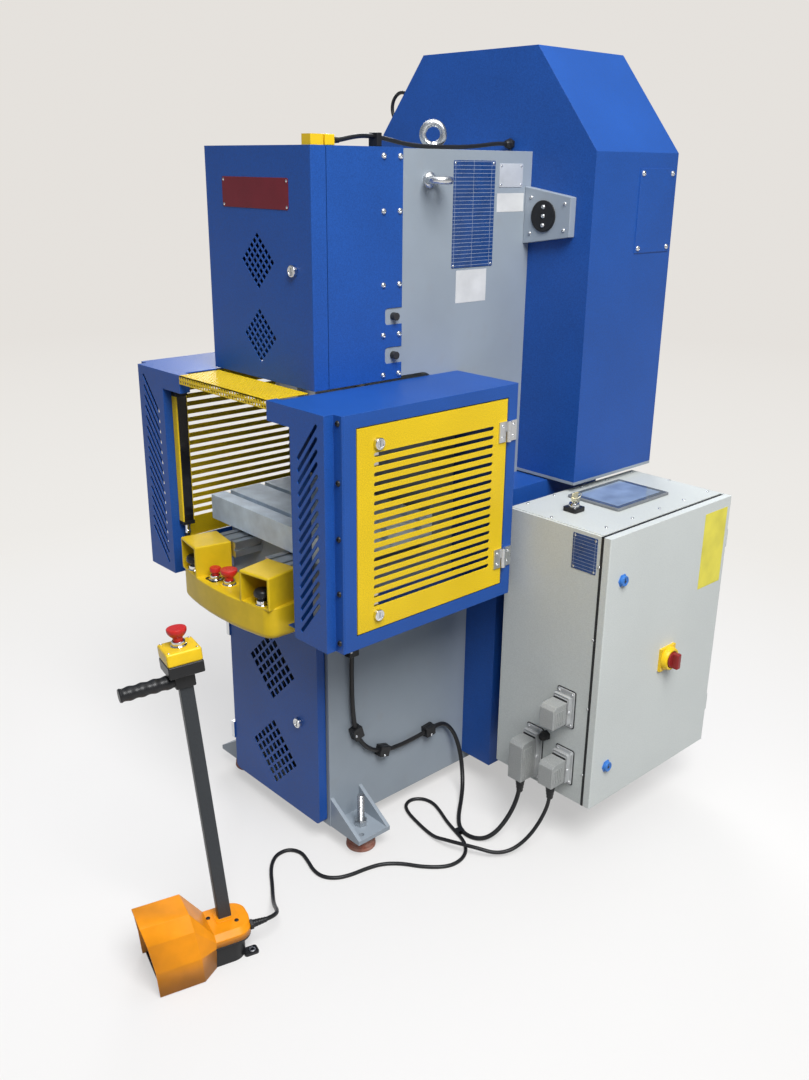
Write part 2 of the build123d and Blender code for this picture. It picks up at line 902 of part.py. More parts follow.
# Motor pulley on the motor's shaft
with BuildPart(press) as motor_pulley:
    bar("Y", (0, motor_height), pulley_radius, flywheel_y)
    for y in belt_spots:
        with BuildSketch(front_face(0, y + belt_width / 2, motor_height)):
            Circle(pulley_radius + 1)
            Circle(pulley_radius - belt_depth, mode=Mode.SUBTRACT)
        extrude(amount=belt_width, mode=Mode.SUBTRACT)
    bar("Y", (0, motor_height), motor_shaft_radius, (frame_rear - rear_plate + door_gap, flywheel_y[0]))
motor_pulley.part.label = "motor_pulley"
export_step(motor_pulley.part, "parts/motor_pulley.step")

# V-belts, which lie in the grooves with a little room
with BuildPart(press) as v_belts:
    for y in belt_spots:
        strip = belt_width - 2 * belt_side_gap
        for stand, mode in ((0.0, Mode.ADD), (guide_gap - belt_depth, Mode.SUBTRACT)):
            with BuildSketch(front_face(0, y + strip / 2, 0)) as loop:
                with Locations((0, crank_height)):
                    Circle(flywheel_radius + stand)
                with Locations((0, motor_height)):
                    Circle(pulley_radius + stand)
                make_hull()
            extrude(amount=strip, mode=mode)
v_belts.part.label = "v_belts"
export_step(v_belts.part, "parts/v_belts.step")

# Motor, flanged to the inside of the rear plate
with BuildPart(press) as motor:
    motor_rear = frame_rear - rear_plate
    bar("Y", (0, motor_height), motor_radius, (motor_front, motor_rear - motor_flange))
    bar("Y", (0, motor_height), motor_flange_radius, (motor_rear - motor_flange, motor_rear))
motor.part.label = "motor"
export_step(motor.part, "parts/motor.step")

# Head cover: a sheet over the sides and top of the head
head_pin_y = cover_front - head_seam / 2
head_hinges = [
    Plane(
        origin=(press_x - cover_half - hinge_stand, press_y + head_pin_y, z),
        x_dir=(0, -1, 0),
        z_dir=(0, 0, -1),
    )
    for z in head_hinge_heights
]
with BuildPart(press) as head_cover:
    block((-cover_half, cover_half), (cover_front, 0), (cover_bottom, cover_top))
    block((-frame_half, frame_half), (cover_front + cover_sheet, 0), (cover_bottom, head_top), Mode.SUBTRACT)
    block(
        (cover_return - frame_half, frame_half - cover_return),
        (cover_front, cover_front + cover_sheet),
        (cover_bottom, head_top - cover_return),
        Mode.SUBTRACT,
    )
    with BuildSketch(right_face(-cover_half, 0, 0)):
        with Locations(*((0, z) for z in gib_screw_heights)):
            RectangleRounded(2 * window_depth, window_height, window_corner)
    extrude(amount=2 * cover_half, mode=Mode.SUBTRACT)
    with BuildSketch(right_face(-cover_half, 0, 0)):
        with Locations(*((y, z) for y in cover_screw_y for z in cover_screw_heights)):
            Circle(screw_radius + hole_play)
    extrude(amount=2 * cover_half, mode=Mode.SUBTRACT)
    for hinge in head_hinges:
        hinge_half(hinge, -1)
head_cover.part.label = "head_cover"
export_step(head_cover.part, "parts/head_cover.step")

# Head door: a pan with two perforated fields
with BuildPart(press) as head_door:
    head_door_back = cover_front - head_seam
    block((-cover_half, cover_half), (head_door_front, head_door_back), (cover_bottom, cover_top))
    fillet(head_door.edges().filter_by(Axis.Z).group_by(Axis.Y)[0], door_bend)
    block(
        (-frame_half, frame_half),
        (head_door_front + cover_sheet, head_door_back),
        (cover_bottom + cover_sheet, head_top),
        Mode.SUBTRACT,
    )
    for z in head_field_heights:
        diamond_field(front_face(0, head_door_front, z), head_field_hole, head_field_pitch, cover_sheet)
    head_lock_face = front_face(head_lock[0], head_door_front, head_lock[1])
    stud(head_lock_face, lock_shank_radius + guide_gap, (-cover_sheet, 0), Mode.SUBTRACT)
    for hinge in head_hinges:
        hinge_half(hinge, 1)
    block(
        interlock_x,
        (head_door_back - interlock_actuator_length, head_door_back),
        (cover_top, cover_top + interlock_height),
    )
head_door.part.label = "head_door"
export_step(head_door.part, "parts/head_door.step")

# Lock of the head door
with BuildPart() as head_door_lock:
    head_cam_depth = cover_front + cover_sheet + door_gap - head_door_front
    head_cam_length = frame_half - door_gap - head_lock[0]
    quarter_turn_lock(head_lock_face, head_cam_length, head_cam_depth)
head_door_lock.part.label = "head_door_lock"
export_step(head_door_lock.part, "parts/head_door_lock.step")

# Switch of the door interlock, on the cover beside the actuator on the door
with BuildPart(press) as door_interlock:
    switch_y = (cover_front + interlock_gap, cover_front + interlock_gap + interlock_switch_length)
    block(interlock_x, switch_y, (cover_top, cover_top + interlock_height))
door_interlock.part.label = "door_interlock"
export_step(door_interlock.part, "parts/door_interlock.step")

# Lower door: a pan that covers the base between the bed and the floor
with BuildPart(press) as lower_door:
    lower_z = (lower_door_bottom, lower_door_top)
    block((-lower_door_half, lower_door_half), (lower_door_front, lower_door_back), lower_z)
    fillet(lower_door.edges().filter_by(Axis.Y).group_by(Axis.Z)[0], lower_door_corner)
    block(
        (lower_door_sheet - lower_door_half, lower_door_half - lower_door_sheet),
        (lower_door_front + lower_door_sheet, lower_door_back),
        (lower_door_bottom + lower_door_corner, lower_door_top - lower_door_sheet),
        Mode.SUBTRACT,
    )
    block(
        (lower_door_corner - lower_door_half, lower_door_half - lower_door_corner),
        (lower_door_front + lower_door_sheet, lower_door_back),
        (lower_door_bottom + lower_door_sheet, lower_door_bottom + lower_door_corner),
        Mode.SUBTRACT,
    )
    for z in lower_field_heights:
        lower_field = front_face(0, lower_door_front, z)
        diamond_field(lower_field, lower_field_hole, lower_field_pitch, lower_door_sheet)
    lower_lock_face = front_face(lower_lock[0], lower_door_front, lower_lock[1])
    stud(lower_lock_face, lock_shank_radius + guide_gap, (-lower_door_sheet, 0), Mode.SUBTRACT)
    for hinge in lower_hinges:
        hinge_half(hinge, 1, lower_door_inset)
lower_door.part.label = "lower_door"
export_step(lower_door.part, "parts/lower_door.step")

# Lock of the lower door
with BuildPart() as lower_door_lock:
    lower_cam_depth = frame_front + striker_depth + door_gap - lower_door_front
    lower_cam_length = inner_half - door_gap - lower_lock[0]
    quarter_turn_lock(lower_lock_face, lower_cam_length, lower_cam_depth)
lower_door_lock.part.label = "lower_door_lock"
export_step(lower_door_lock.part, "parts/lower_door_lock.step")

# Belt guard: a tall hood with sloping shoulders, and the panel on its right side
belt_guard_y = (frame_rear, belt_guard_rear)


def belt_guard_outline(inset):
    """The guard's outline seen from the front, drawn inwards by the sheet."""
    slope = math.atan2(belt_guard_top - belt_guard_shoulder, belt_guard_half - belt_guard_top_half)
    side_half = belt_guard_half - inset
    shoulder = belt_guard_shoulder - inset * (1 - math.sin(slope)) / math.cos(slope) * math.tan(slope)
    top = belt_guard_top - inset
    top_half = side_half - (top - shoulder) / math.tan(slope)
    return [
        (-side_half, belt_guard_bottom),
        (-side_half, shoulder),
        (-top_half, top),
        (top_half, top),
        (side_half, shoulder),
        (side_half, belt_guard_bottom),
    ]


with BuildPart(press) as belt_guard:
    prism(front_face(0, belt_guard_rear, 0), belt_guard_outline(0), belt_guard_rear - frame_rear)
    prism(
        front_face(0, belt_guard_rear - guard_sheet, 0),
        belt_guard_outline(guard_sheet),
        belt_guard_rear - frame_rear - 2 * guard_sheet,
        Mode.SUBTRACT,
    )
    block(
        (-belt_window_half, belt_window_half),
        (frame_rear, frame_rear + guard_sheet),
        (belt_window_bottom, head_top - top_plate),
        Mode.SUBTRACT,
    )
    block((belt_guard_half, belt_guard_half + panel_sheet), panel_y, panel_z)
belt_guard.part.label = "belt_guard"
export_step(belt_guard.part, "parts/belt_guard.step")

# Pale plate under the belt guard
with BuildPart(press) as belt_guard_floor:
    floor_z = (belt_guard_bottom - belt_guard_base, belt_guard_bottom)
    block((-belt_guard_half, belt_guard_half), belt_guard_y, floor_z)
belt_guard_floor.part.label = "belt_guard_floor"
export_step(belt_guard_floor.part, "parts/belt_guard_floor.step")

# Bracket between the cheek and the belt guard, with a round cap on it
with BuildPart(press) as encoder_bracket:
    prism(
        front_face(frame_half, frame_rear, 0),
        [
            (0, bracket_bottom),
            (bracket_reach, bracket_bottom + bracket_taper),
            (bracket_reach, bracket_top - bracket_taper),
            (0, bracket_top),
        ],
        bracket_plate,
    )
    cap_y = (frame_rear - bracket_plate - cap_depth, frame_rear - bracket_plate)
    bar("Y", (frame_half + cap_offset, (bracket_bottom + bracket_top) / 2), cap_radius, cap_y)
encoder_bracket.part.label = "encoder_bracket"
export_step(encoder_bracket.part, "parts/encoder_bracket.step")

# Eye bolts, one on top of the head and one in the right cheek
with BuildPart(press) as eye_bolts:
    ring_stand = eye_collar + eye_ring_radius
    bar("Z", top_eye, eye_collar_radius, (head_top, head_top + eye_collar + eye_wire_radius))
    with Locations(Location((*top_eye, head_top + ring_stand), (90, 0, top_eye_turn))):
        Torus(eye_ring_radius, eye_wire_radius)
    bar("X", side_eye, eye_collar_radius, (frame_half, frame_half + eye_collar + eye_wire_radius))
    with Locations((frame_half + ring_stand, *side_eye)):
        Torus(eye_ring_radius, eye_wire_radius)
eye_bolts.part.label = "eye_bolts"
export_step(eye_bolts.part, "parts/eye_bolts.step")

# Right side guard: a sheet box that is open towards the die space, with an opening for its door
guard_pin_y = guard_door_rear + door_gap / 2
guard_hinges = [
    Plane(
        origin=(press_x + guard_half + hinge_stand, press_y + guard_pin_y, z),
        x_dir=(0, -1, 0),
        z_dir=(0, 0, 1),
    )
    for z in guard_hinge_heights
]
guard_y = (guard_front, guard_rear)
guard_z = (guard_bottom, guard_top)
guard_door_y = (guard_door_front, guard_door_rear)
guard_door_z = (guard_door_bottom, guard_door_top)
with BuildPart(press) as right_guard:
    block((frame_half, guard_half), guard_y, guard_z)
    fillet(right_guard.edges().filter_by(Axis.Z).group_by(Axis.X)[-1], guard_bend)
    inside_z = (guard_bottom + guard_sheet, guard_top - guard_sheet)
    block(
        (frame_half, guard_half - guard_sheet),
        (guard_front + guard_sheet, guard_rear - guard_sheet),
        inside_z,
        Mode.SUBTRACT,
    )
    block(
        (frame_half, guard_half - guard_front_return),
        (guard_front, guard_front + guard_sheet),
        inside_z,
        Mode.SUBTRACT,
    )
    block(
        (guard_half - guard_sheet, guard_half),
        (guard_door_front - door_gap, guard_door_rear + door_gap),
        (guard_door_bottom - door_gap, guard_door_top + door_gap),
        Mode.SUBTRACT,
    )
    with BuildSketch(front_face(guard_half - wing_bolt_inset, guard_front + guard_sheet, 0)):
        with Locations(*((0, z) for z in wing_bolt_heights)):
            Circle(screw_radius + hole_play)
    extrude(amount=guard_sheet, mode=Mode.SUBTRACT)
    for hinge in guard_hinges:
        hinge_half(hinge, -1)
right_guard.part.label = "right_guard"
export_step(right_guard.part, "parts/right_guard.step")

# Left side guard
with BuildPart() as left_guard:
    mirror(right_guard.part, about=mid_plane)
left_guard.part.label = "left_guard"
export_step(left_guard.part, "parts/left_guard.step")

# Right guard door: a slotted pan
with BuildPart(press) as right_guard_door:
    block((guard_half - guard_door_return, guard_half), guard_door_y, guard_door_z)
    block(
        (guard_half - guard_door_return, guard_half - guard_sheet),
        (guard_door_front + guard_sheet, guard_door_rear - guard_sheet),
        (guard_door_bottom + guard_sheet, guard_door_top - guard_sheet),
        Mode.SUBTRACT,
    )
    with BuildSketch(right_face(guard_half - guard_sheet, *door_slot_centre)):
        with GridLocations(1, door_slot_pitch, 1, door_slot_count):
            SlotOverall(door_slot_length, door_slot_width)
    extrude(amount=guard_sheet, mode=Mode.SUBTRACT)
    latch_faces = [right_face(guard_half, latch_y, z) for z in latch_heights]
    for face in latch_faces:
        stud(face, lock_shank_radius + guide_gap, (-guard_sheet, 0), Mode.SUBTRACT)
    for hinge in guard_hinges:
        hinge_half(hinge, 1)
right_guard_door.part.label = "right_guard_door"
export_step(right_guard_door.part, "parts/right_guard_door.step")

# Left guard door
with BuildPart() as left_guard_door:
    mirror(right_guard_door.part, about=mid_plane)
left_guard_door.part.label = "left_guard_door"
export_step(left_guard_door.part, "parts/left_guard_door.step")

# Locks of the guard doors, upper and lower, right and left
latch_cam_length = latch_y - guard_door_front + 2 * door_gap
latch_cam_depth = guard_sheet + door_gap
for face, place, way in zip(latch_faces, ("upper", "lower"), (-1, 1)):
    with BuildPart() as right_latch:
        quarter_turn_lock(face, latch_cam_length, latch_cam_depth, way)
    right_latch.part.label = f"right_{place}_latch"
    export_step(right_latch.part, f"parts/right_{place}_latch.step")
    with BuildPart() as left_latch:
        mirror(right_latch.part, about=mid_plane)
    left_latch.part.label = f"left_{place}_latch"
    export_step(left_latch.part, f"parts/left_{place}_latch.step")

# Front wings: slotted sheets beside the die space, folded back to the side guards
with BuildPart(press) as guard_wings:
    flange_y = (guard_front - guard_sheet, guard_front)
    wing_y = (wing_front, wing_front + guard_sheet)
    header_z = (header_bottom, guard_top)
    block((wing_opening, wing_half), wing_y, guard_z)
    block((header_opening, wing_opening), wing_y, header_z)
    block((wing_half - guard_sheet, wing_half), (wing_front, guard_front), guard_z)
    block((wing_half - guard_sheet, guard_half), flange_y, guard_z)
    return_y = (wing_front, wing_front + wing_return)
    fold_y = (wing_front, guard_front)
    block((wing_opening, wing_opening + guard_sheet), return_y, (guard_bottom + guard_sheet, header_bottom))
    block((header_opening, header_opening + guard_sheet), fold_y, header_z)
    block((header_opening, wing_opening + guard_sheet), fold_y, (header_bottom, header_bottom + guard_sheet))
    block((header_opening, wing_half), fold_y, (guard_top - guard_sheet, guard_top))
    block((wing_opening, wing_half), fold_y, (guard_bottom, guard_bottom + guard_sheet))
    with BuildSketch(front_face(wing_slot_centre[0], wing_front + guard_sheet, wing_slot_centre[1])):
        with GridLocations(1, wing_slot_pitch, 1, wing_slot_count):
            SlotOverall(wing_slot_length, wing_slot_width, rotation=wing_slot_angle)
    extrude(amount=guard_sheet, mode=Mode.SUBTRACT)
    with BuildSketch(front_face(guard_half - wing_bolt_inset, guard_front, 0)):
        with Locations(*((0, z) for z in wing_bolt_heights)):
            Circle(screw_radius + hole_play)
    extrude(amount=guard_sheet, mode=Mode.SUBTRACT)
    mirror(about=mid_plane)
guard_wings.part.label = "guard_wings"
export_step(guard_wings.part, "parts/guard_wings.step")

# Perforated grille between the two headers
with BuildPart(press) as top_grille:
    grille_x = (-header_opening, header_opening)
    block(grille_x, (wing_front, grille_rear), (guard_top - grille_sheet, guard_top))
    block(grille_x, (wing_front, wing_front + grille_sheet), (guard_top - grille_lip, guard_top))
    with BuildSketch(level(0, (wing_front + grille_rear) / 2, guard_top - grille_sheet)):
        with GridLocations(grille_pitch, grille_pitch, grille_columns, grille_rows):
            Circle(grille_hole_radius)
    extrude(amount=grille_sheet, mode=Mode.SUBTRACT)
top_grille.part.label = "top_grille"
export_step(top_grille.part, "parts/top_grille.step")

# Light-curtain posts on the inner edges of the wings
with BuildPart(press) as light_curtains:
    curtain_y = (wing_front + curtain_setback, wing_front + curtain_setback + curtain_depth)
    curtain_inner = wing_opening - curtain_width
    curtain_z = (curtain_bottom, curtain_top)
    block((curtain_inner, wing_opening), curtain_y, curtain_z)
    window_mid = (curtain_y[0] + curtain_y[1]) / 2
    block(
        (curtain_inner, curtain_inner + curtain_window_depth),
        (window_mid - curtain_window / 2, window_mid + curtain_window / 2),
        (curtain_bottom + curtain_window, curtain_top - curtain_window),
        Mode.SUBTRACT,
    )
    mirror(about=mid_plane)
light_curtains.part.label = "light_curtains"
export_step(light_curtains.part, "parts/light_curtains.step")

# Button-head screws of the head cover and the wings
with BuildPart() as button_screws:
    for z in cover_screw_heights:
        for y in cover_screw_y:
            button_screw(right_face(cover_half, y, z), cover_sheet)
    for z in wing_bolt_heights:
        bolt_face = front_face(guard_half - wing_bolt_inset, guard_front - guard_sheet, z)
        button_screw(bolt_face, 2 * guard_sheet)
    mirror(about=mid_plane)
    for y in (panel_y[0] + panel_screw_inset, panel_y[1] - panel_screw_inset):
        for z in (panel_z[0] + panel_screw_inset, panel_z[1] - panel_screw_inset):
            stud(right_face(belt_guard_half + panel_sheet, y, z), screw_head_radius, (0, screw_head))
button_screws.part.label = "button_screws"
export_step(button_screws.part, "parts/button_screws.step")

# Two-hand control desk: a hollow body with a hood over each palm button
button_spots = (
    palm_button,
    (-palm_button[0], palm_button[1]),
    stop_button,
    desk_emergency,
)
with BuildPart(press) as control_desk:
    desk_middle = (desk_front + desk_back) / 2
    desk_depth = desk_back - desk_front
    with BuildSketch(level(0, desk_middle, desk_bottom)) as desk_plan:
        Rectangle(2 * desk_half, desk_depth)
        fillet(desk_plan.vertices().group_by(Axis.Y)[0], desk_corner)
    extrude(amount=deck_height - desk_bottom)
    with BuildSketch(level(0, desk_middle, desk_bottom + desk_wall)) as desk_cavity:
        Rectangle(2 * desk_half - 2 * desk_wall, desk_depth - 2 * desk_wall)
        fillet(desk_cavity.vertices().group_by(Axis.Y)[0], desk_corner - desk_wall)
    extrude(amount=deck_height - desk_bottom - 2 * desk_wall, mode=Mode.SUBTRACT)
    desk_hood_back = desk_front + desk_hood_depth
    desk_hood_x = (desk_hood_inner + desk_half) / 2
    with BuildSketch(level(desk_hood_x, desk_front + desk_hood_depth / 2, deck_height)) as desk_hood_plan:
        Rectangle(desk_half - desk_hood_inner, desk_hood_depth)
        fillet(desk_hood_plan.vertices().group_by(Axis.Y)[0].sort_by(Axis.X)[-1], desk_corner)
    extrude(amount=desk_hood_top - deck_height)
    block(
        (desk_hood_inner + desk_wall, desk_half - desk_wall),
        (desk_front, desk_hood_back - desk_wall),
        (deck_height, desk_hood_top - desk_wall),
        Mode.SUBTRACT,
    )
    mirror(about=mid_plane)
    for spot in button_spots:
        deck_z = (deck_height - desk_wall, deck_height)
        bar("Z", spot, stem_radius + guide_gap, deck_z, Mode.SUBTRACT)
control_desk.part.label = "control_desk"
export_step(control_desk.part, "parts/control_desk.step")

# Slotted arms that carry the desk from the front of the bed
with BuildPart(press) as desk_arms:
    arm_y = (desk_hood_back, frame_front)
    arm_top = arm_bottom + arm_height
    block((arm_inner, arm_outer), arm_y, (arm_bottom, arm_top))
    arm_middle = (arm_inner + arm_outer) / 2
    for x in (arm_middle - arm_groove_spacing / 2, arm_middle + arm_groove_spacing / 2):
        groove_x = (x - arm_groove / 2, x + arm_groove / 2)
        block(groove_x, arm_y, (arm_top - arm_groove_depth, arm_top), Mode.SUBTRACT)
        block(groove_x, arm_y, (arm_bottom, arm_bottom + arm_groove_depth), Mode.SUBTRACT)
    side_groove = ((arm_bottom + arm_top - arm_groove) / 2, (arm_bottom + arm_top + arm_groove) / 2)
    block((arm_inner, arm_inner + arm_groove_depth), arm_y, side_groove, Mode.SUBTRACT)
    block((arm_outer - arm_groove_depth, arm_outer), arm_y, side_groove, Mode.SUBTRACT)
    mirror(about=mid_plane)
desk_arms.part.label = "desk_arms"
export_step(desk_arms.part, "parts/desk_arms.step")

# Collars of the desk's buttons
with BuildPart() as button_collars:
    for x, y in button_spots:
        collar(level(x, y, deck_height))
button_collars.part.label = "button_collars"
export_step(button_collars.part, "parts/button_collars.step")

# Palm buttons under the hoods
for side, place in ((-1, "left"), (1, "right")):
    with BuildPart() as palm:
        palm_face = level(side * palm_button[0], palm_button[1], deck_height)
        push_button(palm_face, mushroom_radius, mushroom_height, mushroom_rounding)
    palm.part.label = f"palm_button_{place}"
    export_step(palm.part, f"parts/palm_button_{place}.step")

# Red buttons in the middle of the desk
with BuildPart() as desk_emergency_stop:
    emergency_face = level(*desk_emergency, deck_height)
    push_button(emergency_face, mushroom_radius, mushroom_height, mushroom_rounding)
desk_emergency_stop.part.label = "desk_emergency_stop"
export_step(desk_emergency_stop.part, "parts/desk_emergency_stop.step")

with BuildPart() as desk_stop_button:
    push_button(level(*stop_button, deck_height), flat_cap_radius, flat_cap_height, flat_cap_rounding)
desk_stop_button.part.label = "desk_stop_button"
export_step(desk_stop_button.part, "parts/desk_stop_button.step")

# Rear enclosure: a sheet box round the back of the frame, with the rails that carry the cabinet
with BuildPart(press) as rear_enclosure:
    enclosure_half = frame_half + enclosure_reach
    block(
        (-enclosure_half, enclosure_half),
        (enclosure_front, enclosure_rear),
        (enclosure_bottom, enclosure_top),
    )
    block(
        (guard_sheet - enclosure_half, enclosure_half - guard_sheet),
        (enclosure_front + guard_sheet, enclosure_rear - guard_sheet),
        (enclosure_bottom, enclosure_top - guard_sheet),
        Mode.SUBTRACT,
    )
    enclosure_z = (enclosure_bottom, enclosure_top)
    block((-frame_half, frame_half), (enclosure_front, frame_rear), enclosure_z, Mode.SUBTRACT)
    for z in rail_heights:
        block((enclosure_half, cabinet_left), rail_y, (z, z + rail_height))
rear_enclosure.part.label = "rear_enclosure"
export_step(rear_enclosure.part, "parts/rear_enclosure.step")

# Control cabinet: a sheet box with an inward flange round its door opening and a lid plate on top
cabinet_hinges = [
    Plane(
        origin=(
            press_x + cabinet_face + cabinet_seam / 2,
            press_y + cabinet_rear + hinge_stand,
            cabinet_top - drop,
        ),
        x_dir=(1, 0, 0),
        z_dir=(0, 0, 1),
    )
    for drop in cabinet_hinge_drops
]
cabinet_y = (cabinet_front, cabinet_rear)
cabinet_z = (cabinet_bottom, cabinet_top)
with BuildPart(press) as cabinet_shell:
    block((cabinet_left, cabinet_face), cabinet_y, cabinet_z)
    block(
        (cabinet_left + cabinet_sheet, cabinet_face - cabinet_sheet),
        (cabinet_front + cabinet_sheet, cabinet_rear - cabinet_sheet),
        (cabinet_bottom + cabinet_sheet, cabinet_top - cabinet_sheet),
        Mode.SUBTRACT,
    )
    block(
        (cabinet_face - cabinet_sheet, cabinet_face),
        (cabinet_front + cabinet_flange, cabinet_rear - cabinet_flange),
        (cabinet_bottom + cabinet_flange, cabinet_top - cabinet_flange),
        Mode.SUBTRACT,
    )
    block(
        (cabinet_left + cabinet_lid_inset, cabinet_face - cabinet_lid_inset),
        (cabinet_front + cabinet_lid_inset, cabinet_rear - cabinet_lid_inset),
        (cabinet_top, lid_top),
    )
    for hinge in cabinet_hinges:
        hinge_half(hinge, -1)
cabinet_shell.part.label = "cabinet_shell"
export_step(cabinet_shell.part, "parts/cabinet_shell.step")

# Cabinet door: a pan with the yellow plate of the isolator on it
with BuildPart(press) as cabinet_door:
    door_x = (cabinet_face + cabinet_seam, cabinet_door_face)
    block(door_x, cabinet_y, cabinet_z)
    fillet(cabinet_door.edges().filter_by(Axis.Z).group_by(Axis.X)[-1], door_bend)
    block(
        (door_x[0], cabinet_door_face - cabinet_sheet),
        (cabinet_front + cabinet_sheet, cabinet_rear - cabinet_sheet),
        (cabinet_bottom + cabinet_sheet, cabinet_top - cabinet_sheet),
        Mode.SUBTRACT,
    )
    isolator_face = right_face(cabinet_door_face, cabinet_front + isolator_in, cabinet_top - isolator_drop)
    plate_half = isolator_plate_size / 2
    slab(isolator_face, (-plate_half, plate_half), (-plate_half, plate_half), (0, isolator_plate))
    stud(isolator_face, lock_shank_radius + guide_gap, (-cabinet_sheet, isolator_plate), Mode.SUBTRACT)
    cabinet_lock_faces = [
        right_face(cabinet_door_face, cabinet_front + cabinet_lock_in, cabinet_top - drop)
        for drop in cabinet_lock_drops
    ]
    for face in cabinet_lock_faces:
        stud(face, lock_shank_radius + guide_gap, (-cabinet_sheet, 0), Mode.SUBTRACT)
    for hinge in cabinet_hinges:
        hinge_half(hinge, 1, span=cabinet_door_depth)
cabinet_door.part.label = "cabinet_door"
export_step(cabinet_door.part, "parts/cabinet_door.step")

# Locks of the cabinet door
cabinet_cam_length = cabinet_lock_in - cabinet_flange / 2
cabinet_cam_depth = cabinet_door_depth + cabinet_seam + cabinet_sheet + door_gap
for face, place in zip(cabinet_lock_faces, ("upper", "lower")):
    with BuildPart() as cabinet_lock:
        quarter_turn_lock(face, cabinet_cam_length, cabinet_cam_depth)
    cabinet_lock.part.label = f"cabinet_{place}_lock"
    export_step(cabinet_lock.part, f"parts/cabinet_{place}_lock.step")

# Knob of the main isolator
with BuildPart() as isolator_knob:
    knob_bottom = isolator_plate + guide_gap
    knob_top = knob_bottom + isolator_height
    stud(isolator_face, lock_shank_radius, (-cabinet_sheet, knob_bottom))
    stud(isolator_face, isolator_radius, (knob_bottom, knob_top))
    slab(
        isolator_face,
        (-isolator_grip_width / 2, isolator_grip_width / 2),
        (-isolator_radius, isolator_radius),
        (knob_top, knob_top + isolator_grip_height),
    )
isolator_knob.part.label = "isolator_knob"
export_step(isolator_knob.part, "parts/isolator_knob.step")

# Operator panel and key switch on the cabinet's lid
key_face = level(cabinet_left + key_x, cabinet_front + key_y, lid_top)
key_top = key_base_height + key_barrel_height
with BuildPart(press) as operator_panel:
    screen_middle = ((screen_x[0] + screen_x[1]) / 2, (screen_y[0] + screen_y[1]) / 2)
    with BuildSketch(level(cabinet_left + screen_middle[0], cabinet_front + screen_middle[1], lid_top)):
        RectangleRounded(screen_x[1] - screen_x[0], screen_y[1] - screen_y[0], screen_rounding)
    extrude(amount=screen_height)
    key_half = key_base_size / 2
    slab(key_face, (-key_half, key_half), (-key_half, key_half), (0, key_base_height))
    stud(key_face, key_barrel_radius, (key_base_height, key_top))
    stud(key_face, key_shank_radius + guide_gap, (key_base_height, key_top), Mode.SUBTRACT)
operator_panel.part.label = "operator_panel"
export_step(operator_panel.part, "parts/operator_panel.step")

# Key in the key switch
with BuildPart() as switch_key:
    stud(key_face, key_shank_radius, (key_base_height + guide_gap, key_top + guide_gap))
    slab(
        key_face,
        (-key_blade[0] / 2, key_blade[0] / 2),
        (-key_blade[1] / 2, key_blade[1] / 2),
        (key_top + guide_gap, key_top + guide_gap + key_blade[2]),
    )
switch_key.part.label = "switch_key"
export_step(switch_key.part, "parts/switch_key.step")

# Cable connectors with their hoods, and a spare gland, on the front of the cabinet
connector_front = cabinet_front - connector_base_depth - connector_hood_depth
entry_y = connector_front + connector_hood_depth / 2
with BuildPart(press) as cable_connectors:
    for x, z, base_width, base_height, hood_size in (connector_left, connector_upper, connector_lower):
        middle = cabinet_left + x
        with BuildSketch(front_face(middle, cabinet_front, z)):
            RectangleRounded(base_width, base_height, connector_rounding)
        extrude(amount=connector_base_depth)
        with BuildSketch(front_face(middle, cabinet_front - connector_base_depth, z)):
            RectangleRounded(connector_hood_width, hood_size, connector_rounding)
        extrude(amount=connector_hood_depth)
        connector_bottom = z - hood_size / 2
        entry_z = (connector_bottom - connector_entry, connector_bottom)
        bar("Z", (middle, entry_y), connector_entry_radius, entry_z)
    gland_face = front_face(cabinet_left + gland_spot[0], cabinet_front, gland_spot[1])
    stud(gland_face, gland_radius, (0, gland_length))
cable_connectors.part.label = "cable_connectors"
export_step(cable_connectors.part, "parts/cable_connectors.step")


# Half of a section across the foot switch, from the floor up: the faceted hood and the low deck behind it
hood_outline = (
    (hood_half, hood_floor),
    (hood_half, hood_waist),
    (hood_hip_half, hood_hip),
    (hood_crown_half, hood_height),
)
deck_outline = (
    (rear_foot_half, hood_floor),
    (rear_half, base_step),
    (rear_half, rear_height - rear_shoulder),
    (rear_half - rear_shoulder, rear_height),
)


def pedal_section(y, half, lean, inset=0.0):
    """A section across the foot switch, leaning to the front at its top, or its cavity, open to the floor."""
    tilt = math.atan2(lean, hood_height)
    face = Plane(
        origin=pedal.from_local_coords((0, y, 0)),
        x_dir=pedal.x_dir,
        z_dir=-(pedal.y_dir * math.cos(tilt) + pedal.z_dir * math.sin(tilt)),
    )
    foot_half, foot = half[0]
    points = [(foot_half, foot - 2 * inset), *half[1:]]
    points += [(-x, z) for x, z in reversed(points)]
    with BuildSketch(face) as section:
        with BuildLine():
            Polyline(*[(x, z / math.cos(tilt)) for x, z in points], close=True)
        make_face()
        if inset:
            offset(amount=-inset, kind=Kind.INTERSECTION)
    return section.sketch


